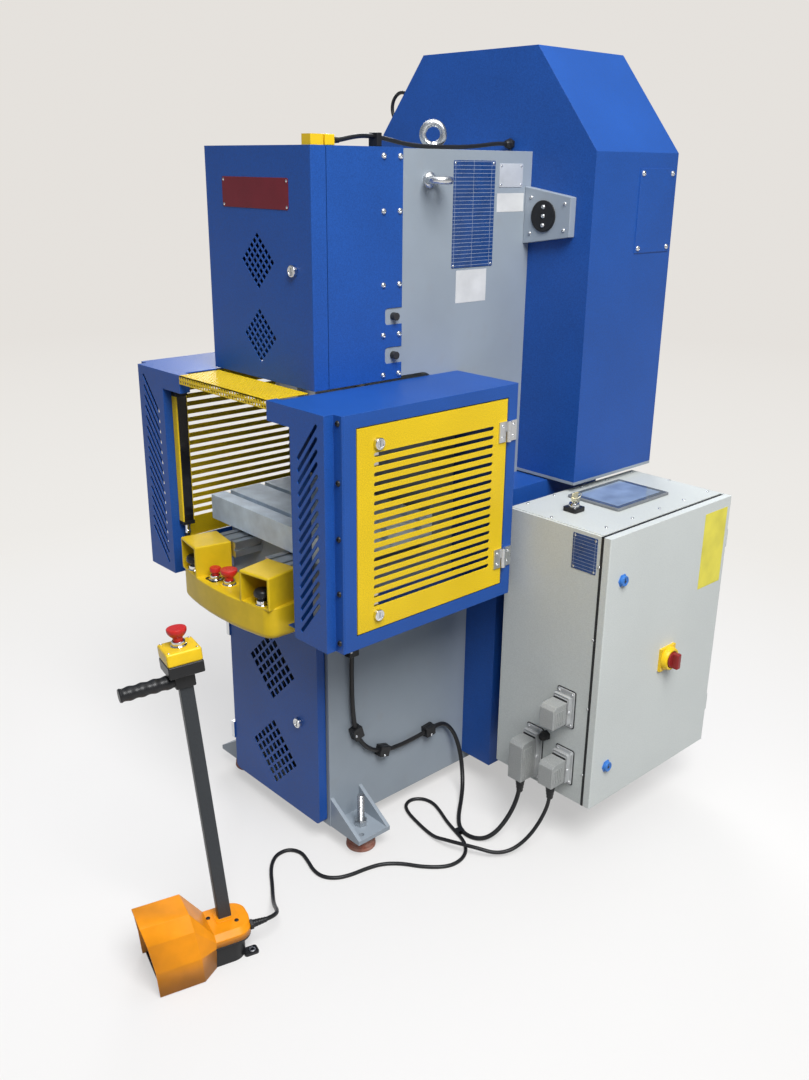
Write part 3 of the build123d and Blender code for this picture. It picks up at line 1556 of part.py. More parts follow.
# Foot switch: base with the lugs of the treadle
treadle_axis = (treadle_hinge, treadle_height + treadle_plate / 2)
with BuildPart(pedal) as pedal_base:
    front_half = hood_half - hood_wall - guide_gap
    front_end_y = hood_straight - hood_floor
    base_back = pedal_length - base_rear_inset
    block((-front_half, front_half), (base_front_inset, front_end_y), (0, switch_plate))
    block((-base_half, base_half), (front_end_y, base_step_start), (0, switch_plate))
    block((-base_half, base_half), (base_step_start, base_back), (0, base_step))
    block((-rear_half, rear_half), (base_step_start, pedal_length), (base_step - base_rim, base_step))
    lug_x = (base_half - lug_size, base_half)
    block(lug_x, (base_back, base_back + lug_size), (0, switch_plate))
    lug_spot = (base_half - lug_size / 2, base_back + lug_size / 2)
    bar("Z", lug_spot, lug_hole_radius, (0, switch_plate), Mode.SUBTRACT)
    for side in (-1, 1):
        inner = side * (treadle_half + guide_gap)
        outer = inner + side * treadle_lug
        block(
            (min(inner, outer), max(inner, outer)),
            (treadle_hinge - 2 * treadle_pin_radius, treadle_hinge + 2 * treadle_pin_radius),
            (switch_plate, treadle_axis[1] + 2 * treadle_pin_radius),
        )
    treadle_reach = treadle_half + guide_gap + treadle_lug
    pin_span = (-treadle_reach, treadle_reach)
    bar("X", treadle_axis, treadle_pin_radius + running_play, pin_span, Mode.SUBTRACT)
pedal_base.part.label = "pedal_base"
export_step(pedal_base.part, "parts/pedal_base.step")

# Foot switch: faceted hood, open at the front, with the low deck and the cord's gland behind
mouth_foot = hood_lean * hood_waist / hood_height
hood_sections = (
    (mouth_foot, hood_outline, hood_lean),
    (hood_straight, hood_outline, hood_lean),
    (rear_start, deck_outline, 0.0),
    (pedal_length, deck_outline, 0.0),
)
with BuildPart(pedal) as pedal_hood:
    for near, far in zip(hood_sections, hood_sections[1:]):
        loft([pedal_section(*near), pedal_section(*far)], ruled=True)
    for near, far in zip(hood_sections, hood_sections[1:]):
        ends = []
        for y, half, lean in (near, far):
            ends.append(pedal_section(min(y, pedal_length - hood_wall), half, lean, hood_wall))
        loft(ends, ruled=True, mode=Mode.SUBTRACT)
    block((-hood_half, hood_half), (base_step_start, pedal_length), (0, base_step), Mode.SUBTRACT)
    gland_at = (pedal_gland_x, pedal_gland_height)
    bar("Y", gland_at, pedal_gland_radius, (pedal_length, pedal_length + pedal_gland_length))
pedal_hood.part.label = "pedal_hood"
export_step(pedal_hood.part, "parts/pedal_hood.step")

# Foot switch: treadle on its pin
with BuildPart(pedal) as foot_pedal:
    block(
        (-treadle_half, treadle_half),
        (treadle_front, treadle_hinge),
        (treadle_height, treadle_height + treadle_plate),
    )
    bar("X", treadle_axis, treadle_pin_radius, pin_span)
foot_pedal.part.label = "foot_pedal"
export_step(foot_pedal.part, "parts/foot_pedal.step")

# Carrying pole with its foot plate and grip
with BuildPart(pole) as pedal_pole:
    block((-pole_width / 2, pole_width / 2), (-pole_depth / 2, pole_depth / 2), (-pole_depth, pole_length))
    slab(
        pedal,
        (pole_x - pole_foot_size / 2, pole_x + pole_foot_size / 2),
        (pole_y - pole_foot_size / 2, pole_y + pole_foot_size / 2),
        (0, rear_height),
        Mode.SUBTRACT,
    )
    slab(
        pedal,
        (pole_x - pole_foot_size / 2, pole_x + pole_foot_size / 2),
        (rear_start, rear_start + pole_foot_size),
        (rear_height, rear_height + pole_foot),
    )
    grip_face = Plane(
        origin=pole.from_local_coords((0, -pole_depth / 2, pole_length - grip_drop)),
        x_dir=pole.x_dir,
        z_dir=-pole.y_dir,
    )
    stud(grip_face, grip_radius, (-pole_depth / 2, grip_length))
pedal_pole.part.label = "pedal_pole"
export_step(pedal_pole.part, "parts/pedal_pole.step")

# Emergency-stop box on the pole, and its button
box_top = pole.offset(pole_length + box_height)
with BuildPart(pole) as pedal_estop_box:
    box_half = box_size / 2
    block((-box_half, box_half), (-box_half, box_half), (pole_length, pole_length + box_height))
    fillet(pedal_estop_box.edges().filter_by(Axis(pole.origin, pole.z_dir)), box_rounding)
    stud(box_top, collar_radius, (0, collar_height))
    stem_room = stem_below + collar_height
    stud(box_top, stem_radius + guide_gap, (-stem_room, collar_height), Mode.SUBTRACT)
pedal_estop_box.part.label = "pedal_estop_box"
export_step(pedal_estop_box.part, "parts/pedal_estop_box.step")

with BuildPart() as pole_emergency_stop:
    push_button(box_top, mushroom_radius, mushroom_height, mushroom_rounding)
pole_emergency_stop.part.label = "pole_emergency_stop"
export_step(pole_emergency_stop.part, "parts/pole_emergency_stop.step")

# Clips and glands of the cables
cable_x = frame_half + cable_stand
cable_top = guard_bottom - guard_gland_length
with BuildPart(press) as cable_clips:
    for y, z, angle in column_clips:
        slope = math.radians(angle)
        clip_face = Plane(
            origin=(press_x + frame_half, press_y + y, z),
            x_dir=(0, math.cos(slope), math.sin(slope)),
            z_dir=(1, 0, 0),
        )
        half_length = clip_length / 2
        slab(clip_face, (-half_length, half_length), (-clip_width / 2, clip_width / 2), (0, clip_depth))
        bore = Plane(
            origin=clip_face.from_local_coords((-half_length, 0, cable_stand)),
            x_dir=clip_face.y_dir,
            z_dir=clip_face.x_dir,
        )
        stud(bore, clip_bore_radius, (0, clip_length), Mode.SUBTRACT)
    bar("Z", (cable_x, cable_start_y), guard_gland_radius, (cable_top, guard_bottom))
    head_half = head_clip_size / 2
    head_clip_x = (head_clip[0] - head_half, head_clip[0] + head_half)
    head_clip_y = (head_clip[1] - head_half / 2, head_clip[1] + head_half / 2)
    block(head_clip_x, head_clip_y, (cover_top, cover_top + head_clip_size))
    head_bore_at = (head_clip[0], cover_top + head_clip_bore)
    bar("Y", head_bore_at, clip_bore_radius, head_clip_y, Mode.SUBTRACT)
    bar("Y", head_gland, gland_radius, (frame_rear - gland_length, frame_rear))
cable_clips.part.label = "cable_clips"
export_step(cable_clips.part, "parts/cable_clips.step")

# Cables that the press holds: down the column in clips, over the head, and a short loop on the belt guard
column_route = [
    (cable_x, cable_start_y, cable_top),
    (cable_x, -168.5, 596.0),
    (cable_x, -167.0, 544.0),
    (cable_x, -168.5, 490.0),
    (cable_x, -168.0, 434.0),
    (cable_x, -166.0, 380.0),
    (cable_x, -160.0, 329.0),
    (cable_x, -146.0, 284.0),
    (cable_x, -120.0, 248.0),
    (cable_x, -84.0, 223.0),
    (cable_x, -42.0, 210.5),
    (cable_x, 2.0, 206.5),
    (cable_x, 46.0, 207.0),
    (cable_x, 90.0, 210.0),
    (cable_x, 128.0, 213.8),
]
switch_middle = (interlock_x[0] + interlock_x[1]) / 2
switch_end = (switch_middle, switch_y[1], cover_top + interlock_height / 2)
head_route = [
    switch_end,
    (switch_end[0], switch_end[1] + 22.0, switch_end[2]),
    (176.0, -140.0, 1742.0),
    (167.0, -104.0, 1747.0),
    (157.0, -70.0, 1748.5),
    (150.0, -36.0, 1747.5),
    (146.0, 2.0, 1743.0),
    (143.0, 46.0, 1736.0),
    (140.0, 96.0, 1731.0),
    (136.0, 150.0, 1730.0),
    (131.0, 206.0, 1730.5),
    (127.0, 262.0, 1731.5),
    (126.0, 316.0, 1734.5),
    (127.0, 366.0, 1740.0),
    (head_gland[0], frame_rear - gland_length - 24.0, head_gland[1]),
    (head_gland[0], frame_rear - gland_length, head_gland[1]),
]
slope_run = belt_guard_half - belt_guard_top_half
slope_rise = belt_guard_top - belt_guard_shoulder
slope_angle = math.atan2(slope_rise, slope_run)
loop_x = -belt_guard_half + loop_fraction * slope_run
loop_z = belt_guard_shoulder + loop_fraction * slope_rise
loop_step = math.pi / loop_corners
loop_corner_radius = loop_radius / math.cos(loop_step / 2)
loop_stem = loop_radius * math.tan(loop_step / 2)


def loop_point(radius, turn, stem):
    """A point of the loop that stands square on the guard's left slope."""
    along = radius * math.cos(turn)
    out = radius * math.sin(turn) + stem
    x = loop_x + along * math.cos(slope_angle) - out * math.sin(slope_angle)
    z = loop_z + along * math.sin(slope_angle) + out * math.cos(slope_angle)
    return (x, loop_y, z)


loop_route = [loop_point(loop_radius, 0.0, 0.0)]
for corner in range(loop_corners):
    loop_route.append(loop_point(loop_corner_radius, (corner + 0.5) * loop_step, loop_stem))
loop_route.append(loop_point(loop_radius, math.pi, 0.0))
with BuildPart() as held_cables:
    tube("column cable", column_route, cable_radius)
    tube("head cable", head_route, head_cable_radius)
    tube("guard loop", loop_route, head_cable_radius)
held_cables.part.label = "held_cables"
export_step(held_cables.part, "parts/held_cables.step")

# Free stretch of the sensor cable, from the last clip over the floor to the left connector
left_entry_x = cabinet_left + connector_left[0]
left_entry_z = connector_left[1] - connector_left[4] / 2 - connector_entry
sensor_route = [
    column_route[-1],
    (cable_x, 150.0, 216.0),
    (213.5, 176.0, 205.0),
    (219.0, 198.0, 177.0),
    (227.5, 210.0, 140.0),
    (239.0, 213.0, 100.0),
    (255.0, 205.0, 60.0),
    (278.0, 184.0, 28.0),
    (305.0, 151.0, 9.5),
    (330.0, 119.0, 6.2),
    (354.0, 91.0, 6.2),
    (382.0, 65.0, 6.2),
    (412.0, 51.0, 6.2),
    (445.0, 54.0, 6.2),
    (471.0, 71.0, 10.5),
    (487.0, 95.0, 27.0),
    (494.0, 122.0, 52.0),
    (497.0, 146.0, 80.0),
    (left_entry_x, 164.0, 110.0),
    (left_entry_x, entry_y, 141.0),
    (left_entry_x, entry_y, left_entry_z),
]
with BuildPart() as sensor_cable:
    tube("sensor cable", sensor_route, cable_radius)
sensor_cable.part.label = "sensor_cable"
export_step(sensor_cable.part, "parts/sensor_cable.step")

# Cord of the foot switch, over the floor to the lower connector
lower_entry_x = cabinet_left + connector_lower[0]
lower_entry_z = connector_lower[1] - connector_lower[4] / 2 - connector_entry


def from_pedal(x, y, z):
    """Press coordinates of a point of the foot switch."""
    place = pedal.from_local_coords((x, y, z))
    return (place.X - press_x, place.Y - press_y, place.Z)


gland_end = pedal_length + pedal_gland_length
cord_route = [
    from_pedal(pedal_gland_x, gland_end, pedal_gland_height),
    from_pedal(pedal_gland_x, gland_end + 24.0, pedal_gland_height),
    (395.0, -549.0, 66.5),
    (371.0, -532.0, 53.0),
    (340.0, -516.0, 34.0),
    (307.0, -497.0, 17.0),
    (273.0, -475.0, 6.4),
    (240.0, -453.0, 5.2),
    (206.0, -432.0, 5.2),
    (175.0, -408.0, 5.2),
    (152.0, -376.0, 5.2),
    (155.0, -339.0, 5.2),
    (187.0, -322.0, 5.2),
    (226.0, -331.0, 5.2),
    (265.0, -344.0, 5.2),
    (302.0, -343.0, 5.2),
    (330.0, -319.0, 5.2),
    (344.0, -282.0, 5.2),
    (350.0, -240.0, 5.2),
    (363.0, -196.0, 5.2),
    (395.0, -158.0, 5.2),
    (441.0, -128.0, 5.2),
    (482.0, -83.0, 5.2),
    (489.0, -40.0, 5.2),
    (473.0, 0.0, 5.2),
    (437.0, 28.0, 5.2),
    (391.0, 41.0, 5.2),
    (344.0, 55.0, 5.2),
    (298.0, 75.0, 5.2),
    (257.0, 88.0, 5.2),
    (223.0, 81.0, 5.2),
    (203.0, 54.0, 5.2),
    (212.0, 22.0, 5.2),
    (243.0, 4.0, 5.2),
    (288.0, -7.0, 5.2),
    (336.0, -16.0, 5.2),
    (376.0, -22.0, 9.0),
    (412.0, -22.0, 21.0),
    (447.0, -15.0, 27.0),
    (503.0, 12.0, 27.0),
    (533.0, 38.0, 16.0),
    (553.0, 72.0, 15.0),
    (569.0, 103.0, 32.0),
    (582.0, 131.0, 62.0),
    (591.0, 153.0, 98.0),
    (597.0, 167.0, 134.0),
    (lower_entry_x, entry_y, 166.0),
    (lower_entry_x, entry_y, lower_entry_z),
]
with BuildPart() as pedal_cord:
    tube("pedal cord", cord_route, cord_radius)
pedal_cord.part.label = "pedal_cord"
export_step(pedal_cord.part, "parts/pedal_cord.step")
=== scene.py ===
import json
import math

import bmesh
import bpy
from bpy.props import FloatProperty, FloatVectorProperty, IntProperty, PointerProperty
from mathutils import Matrix, Vector

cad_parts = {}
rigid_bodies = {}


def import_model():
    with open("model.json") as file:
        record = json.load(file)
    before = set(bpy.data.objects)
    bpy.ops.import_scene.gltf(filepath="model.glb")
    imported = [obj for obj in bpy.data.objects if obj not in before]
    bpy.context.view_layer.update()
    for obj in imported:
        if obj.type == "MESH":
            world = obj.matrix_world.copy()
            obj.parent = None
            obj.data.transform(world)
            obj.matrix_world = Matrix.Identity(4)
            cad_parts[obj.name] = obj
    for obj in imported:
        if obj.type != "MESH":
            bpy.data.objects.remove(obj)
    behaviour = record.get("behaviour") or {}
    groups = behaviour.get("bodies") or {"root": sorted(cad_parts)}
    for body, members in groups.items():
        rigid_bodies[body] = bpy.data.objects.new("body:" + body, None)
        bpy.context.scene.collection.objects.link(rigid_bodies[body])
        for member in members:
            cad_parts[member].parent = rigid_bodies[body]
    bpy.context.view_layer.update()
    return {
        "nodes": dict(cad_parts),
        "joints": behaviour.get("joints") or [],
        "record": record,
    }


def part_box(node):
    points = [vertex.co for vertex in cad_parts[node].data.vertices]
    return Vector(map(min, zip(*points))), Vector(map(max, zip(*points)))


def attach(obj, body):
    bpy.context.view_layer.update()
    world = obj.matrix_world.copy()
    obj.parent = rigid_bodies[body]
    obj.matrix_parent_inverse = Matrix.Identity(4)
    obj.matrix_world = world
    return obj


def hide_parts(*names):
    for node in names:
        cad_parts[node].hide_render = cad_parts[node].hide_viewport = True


bl_info = {
    "name": "Eccentric press",
    "version": (1, 0, 0),
    "blender": (4, 5, 0),
    "location": "3D View > Sidebar > Press",
    "description": "Finishes, fittings and stage of an eccentric press on its packed frame",
    "category": "Object",
}

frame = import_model()

# Press coordinates, in millimetres: x to the operator's right from the ram, y to the back, z up
MM = 0.001
RAM_Y = -98.0
BOLSTER_LOW, BOLSTER_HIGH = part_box("bolster_plate")
BOLSTER_MIDDLE = (BOLSTER_LOW + BOLSTER_HIGH) / 2
PRESS = Vector((BOLSTER_MIDDLE.x, BOLSTER_MIDDLE.y - RAM_Y * MM, 0.0))
X, Y, Z = range(3)
RIGHT, BACK, UP = Vector((1, 0, 0)), Vector((0, 1, 0)), Vector((0, 0, 1))
LEFT, FRONT, DOWN = -RIGHT, -BACK, -UP
SIDES = (-1, 1)
QUARTER = math.pi / 2

# Faces of the press that its fittings sit on
CHEEK_X = 200.0
COVER_X = 202.0
CABINET_Y = 224.0
CABINET_DOOR_X = 685.0
LID_TOP = 879.0

MACHINE = "machine"
SHARP_EDGE = math.radians(38)
JOINT_OF = {joint["child"]: joint for joint in frame["joints"]}


def row(x, y, z):
    """A point of the press, in millimetres, as a point of the row frame in metres."""
    return PRESS + Vector((x, y, z)) * MM


def on_press(point):
    """A point of the row frame in press coordinates."""
    return (point - PRESS) / MM


def span(node):
    """The lowest and highest corner of a part in press coordinates."""
    return [on_press(corner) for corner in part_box(node)]


def pivot(node):
    """Where a moving part turns or slides, in press coordinates."""
    return on_press(Vector(JOINT_OF[node]["pos_m"]))


def place(x, y, z, out=UP, turn=0.0):
    """Puts a shape in millimetres on the press, its z axis along out and its y axis up where it can be."""
    out = out.normalized()
    upright = UP if abs(out.z) < 0.9 else BACK
    across = upright.cross(out).normalized()
    matrix = Matrix((across, out.cross(across), out)).transposed().to_4x4()
    matrix.translation = row(x, y, z)
    return matrix @ Matrix.Rotation(turn, 4, "Z") @ Matrix.Scale(MM, 4)


def at(seat, x=0, y=0, z=0, turn=0.0, axis="Z"):
    """A place moved in millimetres along a seat's own axes, then turned about one of them."""
    return seat @ Matrix.Translation((x, y, z)) @ Matrix.Rotation(turn, 4, axis)


ORIGIN = place(0, 0, 0)


# Sizes and colours that a user may change


def colour(name, description, *rgb):
    """A colour property."""
    return FloatVectorProperty(
        name=name, description=description, subtype="COLOR", min=0.0, max=1.0, default=rgb
    )


def number(name, description, value, **settings):
    """A number property."""
    return FloatProperty(name=name, description=description, default=value, **settings)


def length(name, description, millimetres):
    """A length property, kept in metres."""
    return number(name, description, millimetres * MM, min=0.0, unit="LENGTH", precision=5)


def angle(name, description, degrees):
    """An angle property."""
    return number(name, description, math.radians(degrees), subtype="ANGLE")


class PressColours(bpy.types.PropertyGroup):
    """Colours of the press's finishes"""

    blue_coat: colour("Blue coat", "Powder coat of the covers and guards", 0.013, 0.080, 0.345)
    yellow_coat: colour("Yellow coat", "Powder coat of the guard doors and the grille", 0.86, 0.56, 0.008)
    desk_yellow: colour("Desk yellow", "Moulding of the two-hand desk", 0.72, 0.49, 0.012)
    frame_grey: colour("Frame grey", "Paint of the welded frame", 0.31, 0.355, 0.40)
    cabinet_grey: colour("Cabinet grey", "Powder coat of the control cabinet", 0.60, 0.625, 0.60)
    pole_grey: colour("Pole grey", "Coat of the foot switch's pole", 0.034, 0.038, 0.042)
    orange: colour("Orange", "Hood of the foot switch", 0.88, 0.30, 0.004)
    red: colour("Red", "Stop buttons", 0.56, 0.022, 0.018)
    signal_yellow: colour("Signal yellow", "Plastic of the stop box and the interlock", 0.86, 0.56, 0.012)
    lock_blue: colour("Lock blue", "Plastic of the cabinet's locks", 0.045, 0.20, 0.60)
    black: colour("Black", "Black plastic of buttons, clips and the grip", 0.014, 0.014, 0.015)
    pad_rubber: colour("Pad rubber", "Rubber of the levelling pads", 0.36, 0.12, 0.075)
    hood_grey: colour("Hood grey", "Die-cast hoods of the cable connectors", 0.40, 0.41, 0.40)
    backdrop: colour("Backdrop", "Background above the horizon", 0.785, 0.757, 0.722)
    far_floor: colour("Far floor", "Floor some way behind the press", 0.850, 0.832, 0.803)
    floor: colour("Floor", "Floor round the press", 0.925, 0.912, 0.898)


class PressSizes(bpy.types.PropertyGroup):
    """Sizes of the press's details and of the stage"""

    edge: length("Edge", "Rounding that the finishes give to sharp edges", 1.2)
    coat_grain: length("Coat grain", "Grain of the powder coat", 2.4)
    screw_head: length("Screw head", "Radius of a button-head screw's head", 7.0)
    rivet: length("Rivet", "Radius of a plate's rivet", 3.2)
    thread_pitch: length("Thread pitch", "Pitch of the levelling screws", 5.0)
    grip_wave: length("Grip wave", "Length of one finger groove of the grip", 26.0)
    pad_ribs: IntProperty(name="Pad ribs", description="Ribs round a levelling pad", default=3, min=1, max=6)
    lens: number("Lens", "Focal length over a 36 mm tall frame", 34.29, unit="CAMERA")
    camera_yaw: angle("Camera yaw", "Turn of the view to the operator's left", 47.14)
    camera_pitch: angle("Camera pitch", "Tilt of the view below the horizon", 20.01)
    camera_roll: angle("Camera roll", "Roll of the view", 0.68)
    key_power: number("Key light", "Power of the large lamp on the right", 510.0, unit="POWER")
    top_power: number("Top light", "Power of the lamp overhead", 25.0, unit="POWER")
    window_power: number("Window light", "Power of the lamp behind on the left", 150.0, unit="POWER")
    room_light: number("Room light", "Strength of the even light of the room", 0.27)


def colours():
    """The colours as set in the scene."""
    return bpy.context.scene.press_colours


def sizes():
    """The sizes as set in the scene."""
    return bpy.context.scene.press_sizes


# Shapes, in millimetres

WELD = 1e-4
SCREW_HEAD = ((0.0, 0.3), (0.4, 0.3), (0.4, 0.98), (0.68, 0.85), (0.88, 0.55), (1.0, 0.12), (1.0, 0.0))
RIVET_HEAD = ((0.0, 0.5), (0.5, 0.42), (0.85, 0.22), (1.0, 0.0))
RELIEF_NECK = 0.86


def bevel(shape, geometry, offset, segments=2, affect="EDGES"):
    """Rounds edges, or the corners of a flat outline; a single segment cuts them straight."""
    bmesh.ops.bevel(
        shape, geom=geometry, offset=offset, offset_type="OFFSET", segments=segments, profile=0.5,
        affect=affect, clamp_overlap=True, material=-1,
    )
    return shape


def round_edges(shape, edge, segments=2, least=0.5):
    """Rounds the edges whose faces meet at more than an angle."""
    return bevel(shape, [e for e in shape.edges if e.calc_face_angle(0.0) > least], edge, segments)


def box(x, y, z):
    """A box between three pairs of coordinates, its edges still sharp."""
    low, high = (Vector(corner) for corner in zip(x, y, z))
    shape = bmesh.new()
    bmesh.ops.create_cube(shape, size=1.0, matrix=Matrix.LocRotScale((low + high) / 2, None, high - low))
    return shape


def block(x, y, z, edge=1.0, segments=2):
    """A box between three pairs of coordinates, with round edges."""
    return round_edges(box(x, y, z), edge, segments)


def spun(shape, geometry, segments):
    """Turns points and lines about the z axis."""
    bmesh.ops.spin(
        shape, geom=geometry, cent=(0, 0, 0), axis=(0, 0, 1), angle=math.tau, steps=segments, use_merge=True
    )
    bmesh.ops.remove_doubles(shape, verts=shape.verts, dist=WELD)
    bmesh.ops.recalc_face_normals(shape, faces=shape.faces)
    return shape


def turned(profile, segments=24):
    """Turns a profile of (radius, height) points about the z axis."""
    shape = bmesh.new()
    points = [shape.verts.new((radius, 0.0, height)) for radius, height in profile]
    return spun(shape, points + [shape.edges.new(pair) for pair in zip(points, points[1:])], segments)


def ring(radius, wire, segments=40, sides=14):
    """A round wire bent to a ring about the z axis."""
    shape = bmesh.new()
    upright = Matrix.Translation((radius, 0, 0)) @ Matrix.Rotation(QUARTER, 4, "X")
    made = bmesh.ops.create_circle(shape, segments=sides, radius=wire, matrix=upright)
    return spun(shape, made["verts"] + list(shape.edges), segments)


def sheet(width, depth, columns=1, rows=1):
    """A flat sheet on its middle, ruled in columns and rows."""
    shape = bmesh.new()
    size = Matrix.Diagonal((width, depth, 1, 1))
    bmesh.ops.create_grid(shape, x_segments=columns, y_segments=rows, size=0.5, matrix=size)
    return shape


def outline(corners):
    """A flat face on its corners."""
    shape = bmesh.new()
    shape.faces.new([shape.verts.new((x, y, 0.0)) for x, y in corners])
    return shape


def thicken(shape, height):
    """Gives a flat shape a thickness along z."""
    made = bmesh.ops.extrude_face_region(shape, geom=list(shape.faces))
    raised = [v for v in made["geom"] if isinstance(v, bmesh.types.BMVert)]
    bmesh.ops.translate(shape, vec=(0, 0, height), verts=raised)
    bmesh.ops.recalc_face_normals(shape, faces=shape.faces)
    return shape


def plate(width, height, thick, corner=0.0, edge=0.3):
    """A flat plate with round corners, on its middle."""
    shape = sheet(width, height)
    if corner:
        bevel(shape, list(shape.verts), corner, 4, "VERTICES")
    return round_edges(thicken(shape, thick), edge, 2, 1.2)


def prism(corners, thick, edge=0.5, segments=2):
    """A polygon's outline drawn out along z, with round edges."""
    return round_edges(thicken(outline(corners), thick), edge, segments)


def hexagon(flats, height, edge=1.0):
    """A six-sided nut without its bore."""
    radius = flats / math.sqrt(3)
    shape = bmesh.new()
    bmesh.ops.create_cone(
        shape, cap_ends=True, segments=6, radius1=radius, radius2=radius, depth=height,
        matrix=Matrix.Translation((0, 0, height / 2)),
    )
    return round_edges(shape, edge)


def dome_screw(radius, height, segments=18):
    """A button-head screw's head with its socket."""
    return turned([(share * radius, rise * height) for share, rise in SCREW_HEAD], segments)


def rivet(radius):
    """A rivet's low round head."""
    return turned([(share * radius, rise * radius) for share, rise in RIVET_HEAD], 12)


def stepped_relief(start, end, reach, rings=4):
    """A strain relief that tapers from one radius to another in rings."""
    profile = [(0.0, 0.0)]
    for step in range(rings):
        wide = start + (end - start) * step / rings
        low, high = reach * step / rings, reach * (step + 0.7) / rings
        neck = wide * RELIEF_NECK
        profile += [(wide, low), (wide, high), (neck, high + 0.02 * reach)]
        profile.append((neck, reach * (step + 1) / rings))
    return turned(profile + [(0.0, reach)], 20)


# Pieces


def settle(piece, body, slot, *nodes):
    """Links a finished object, lets it ride on its body and stand for the plain parts that are named."""
    bpy.context.scene.collection.objects.link(piece)
    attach(piece, body)
    if nodes:
        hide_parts(*nodes)
    return piece


class Piece:
    """A new piece: shapes join it at their places on the press, each in one of its finishes."""

    def __init__(self, name, slot, body=MACHINE):
        self.name = name
        self.slot = slot
        self.body = body
        self.mesh = bmesh.new()
        self.finishes = []

    def join(self, shape, where, finish):
        """Adds a shape in a finish, at a place."""
        if finish not in self.finishes:
            self.finishes.append(finish)
        for face in shape.faces:
            face.material_index = self.finishes.index(finish)
        bmesh.ops.transform(shape, matrix=where, verts=shape.verts)
        carrier = bpy.data.meshes.new(self.name)
        shape.to_mesh(carrier)
        shape.free()
        self.mesh.from_mesh(carrier)
        bpy.data.meshes.remove(carrier)

    def screw(self, places, radius, height, segments=18, finish=None):
        """Drives a button-head screw at each place, in bright zinc where no finish is named."""
        for where in places:
            self.join(dome_screw(radius, height, segments), where, finish or bright_zinc())

    def gland(self, where, flats, nut, dome, segments=24):
        """Adds a black cable gland: a nut across its flats, and the dome on it."""
        self.join(hexagon(flats, nut), where, black_plastic())
        self.join(turned(dome, segments), where, black_plastic())

    def finish(self, *nodes):
        """Makes the object, which stands for the plain parts that are named."""
        data = bpy.data.meshes.new(self.name)
        self.mesh.to_mesh(data)
        self.mesh.free()
        for material in self.finishes:
            data.materials.append(material)
        data.shade_smooth()
        data.set_sharp_from_angle(angle=SHARP_EDGE)
        made = settle(bpy.data.objects.new(self.name, data), self.body, self.slot, *nodes)
        made.modifiers.new("flat_faces", "WEIGHTED_NORMAL").keep_sharp = True
        return made


def single(name, slot, body, shape, where, finish, *nodes):
    """Makes a piece of one shape in one finish."""
    piece = Piece(name, slot, body)
    piece.join(shape, where, finish)
    piece.finish(*nodes)


# Finishes


class Nodes:
    """A node tree in the making."""

    def __init__(self, tree, output):
        self.tree = tree
        self.output = tree.nodes[output].inputs["Surface"]

    def add(self, kind, inputs=None, **settings):
        """Adds a node with its settings and inputs."""
        node = self.tree.nodes.new(kind)
        for name, value in settings.items():
            setattr(node, name, value)
        self.feed(node, inputs or {})
        return node

    def feed(self, node, inputs):
        """Sets each input to its value, or joins it to its socket."""
        for name, value in inputs.items():
            if isinstance(value, bpy.types.NodeSocket):
                self.tree.links.new(value, node.inputs[name])
            else:
                node.inputs[name].default_value = value

    def math(self, operation, first, second):
        """The result of a sum on a socket and a socket or number."""
        return self.add("ShaderNodeMath", {0: first, 1: second}, operation=operation).outputs[0]

    def cover(self, mask, other):
        """Lays another shader over the surface where a mask says so."""
        earlier = self.output.links[0].from_socket
        mixed = self.add("ShaderNodeMixShader", {0: mask, 1: earlier, 2: other.outputs[0]})
        self.tree.links.new(mixed.outputs[0], self.output)


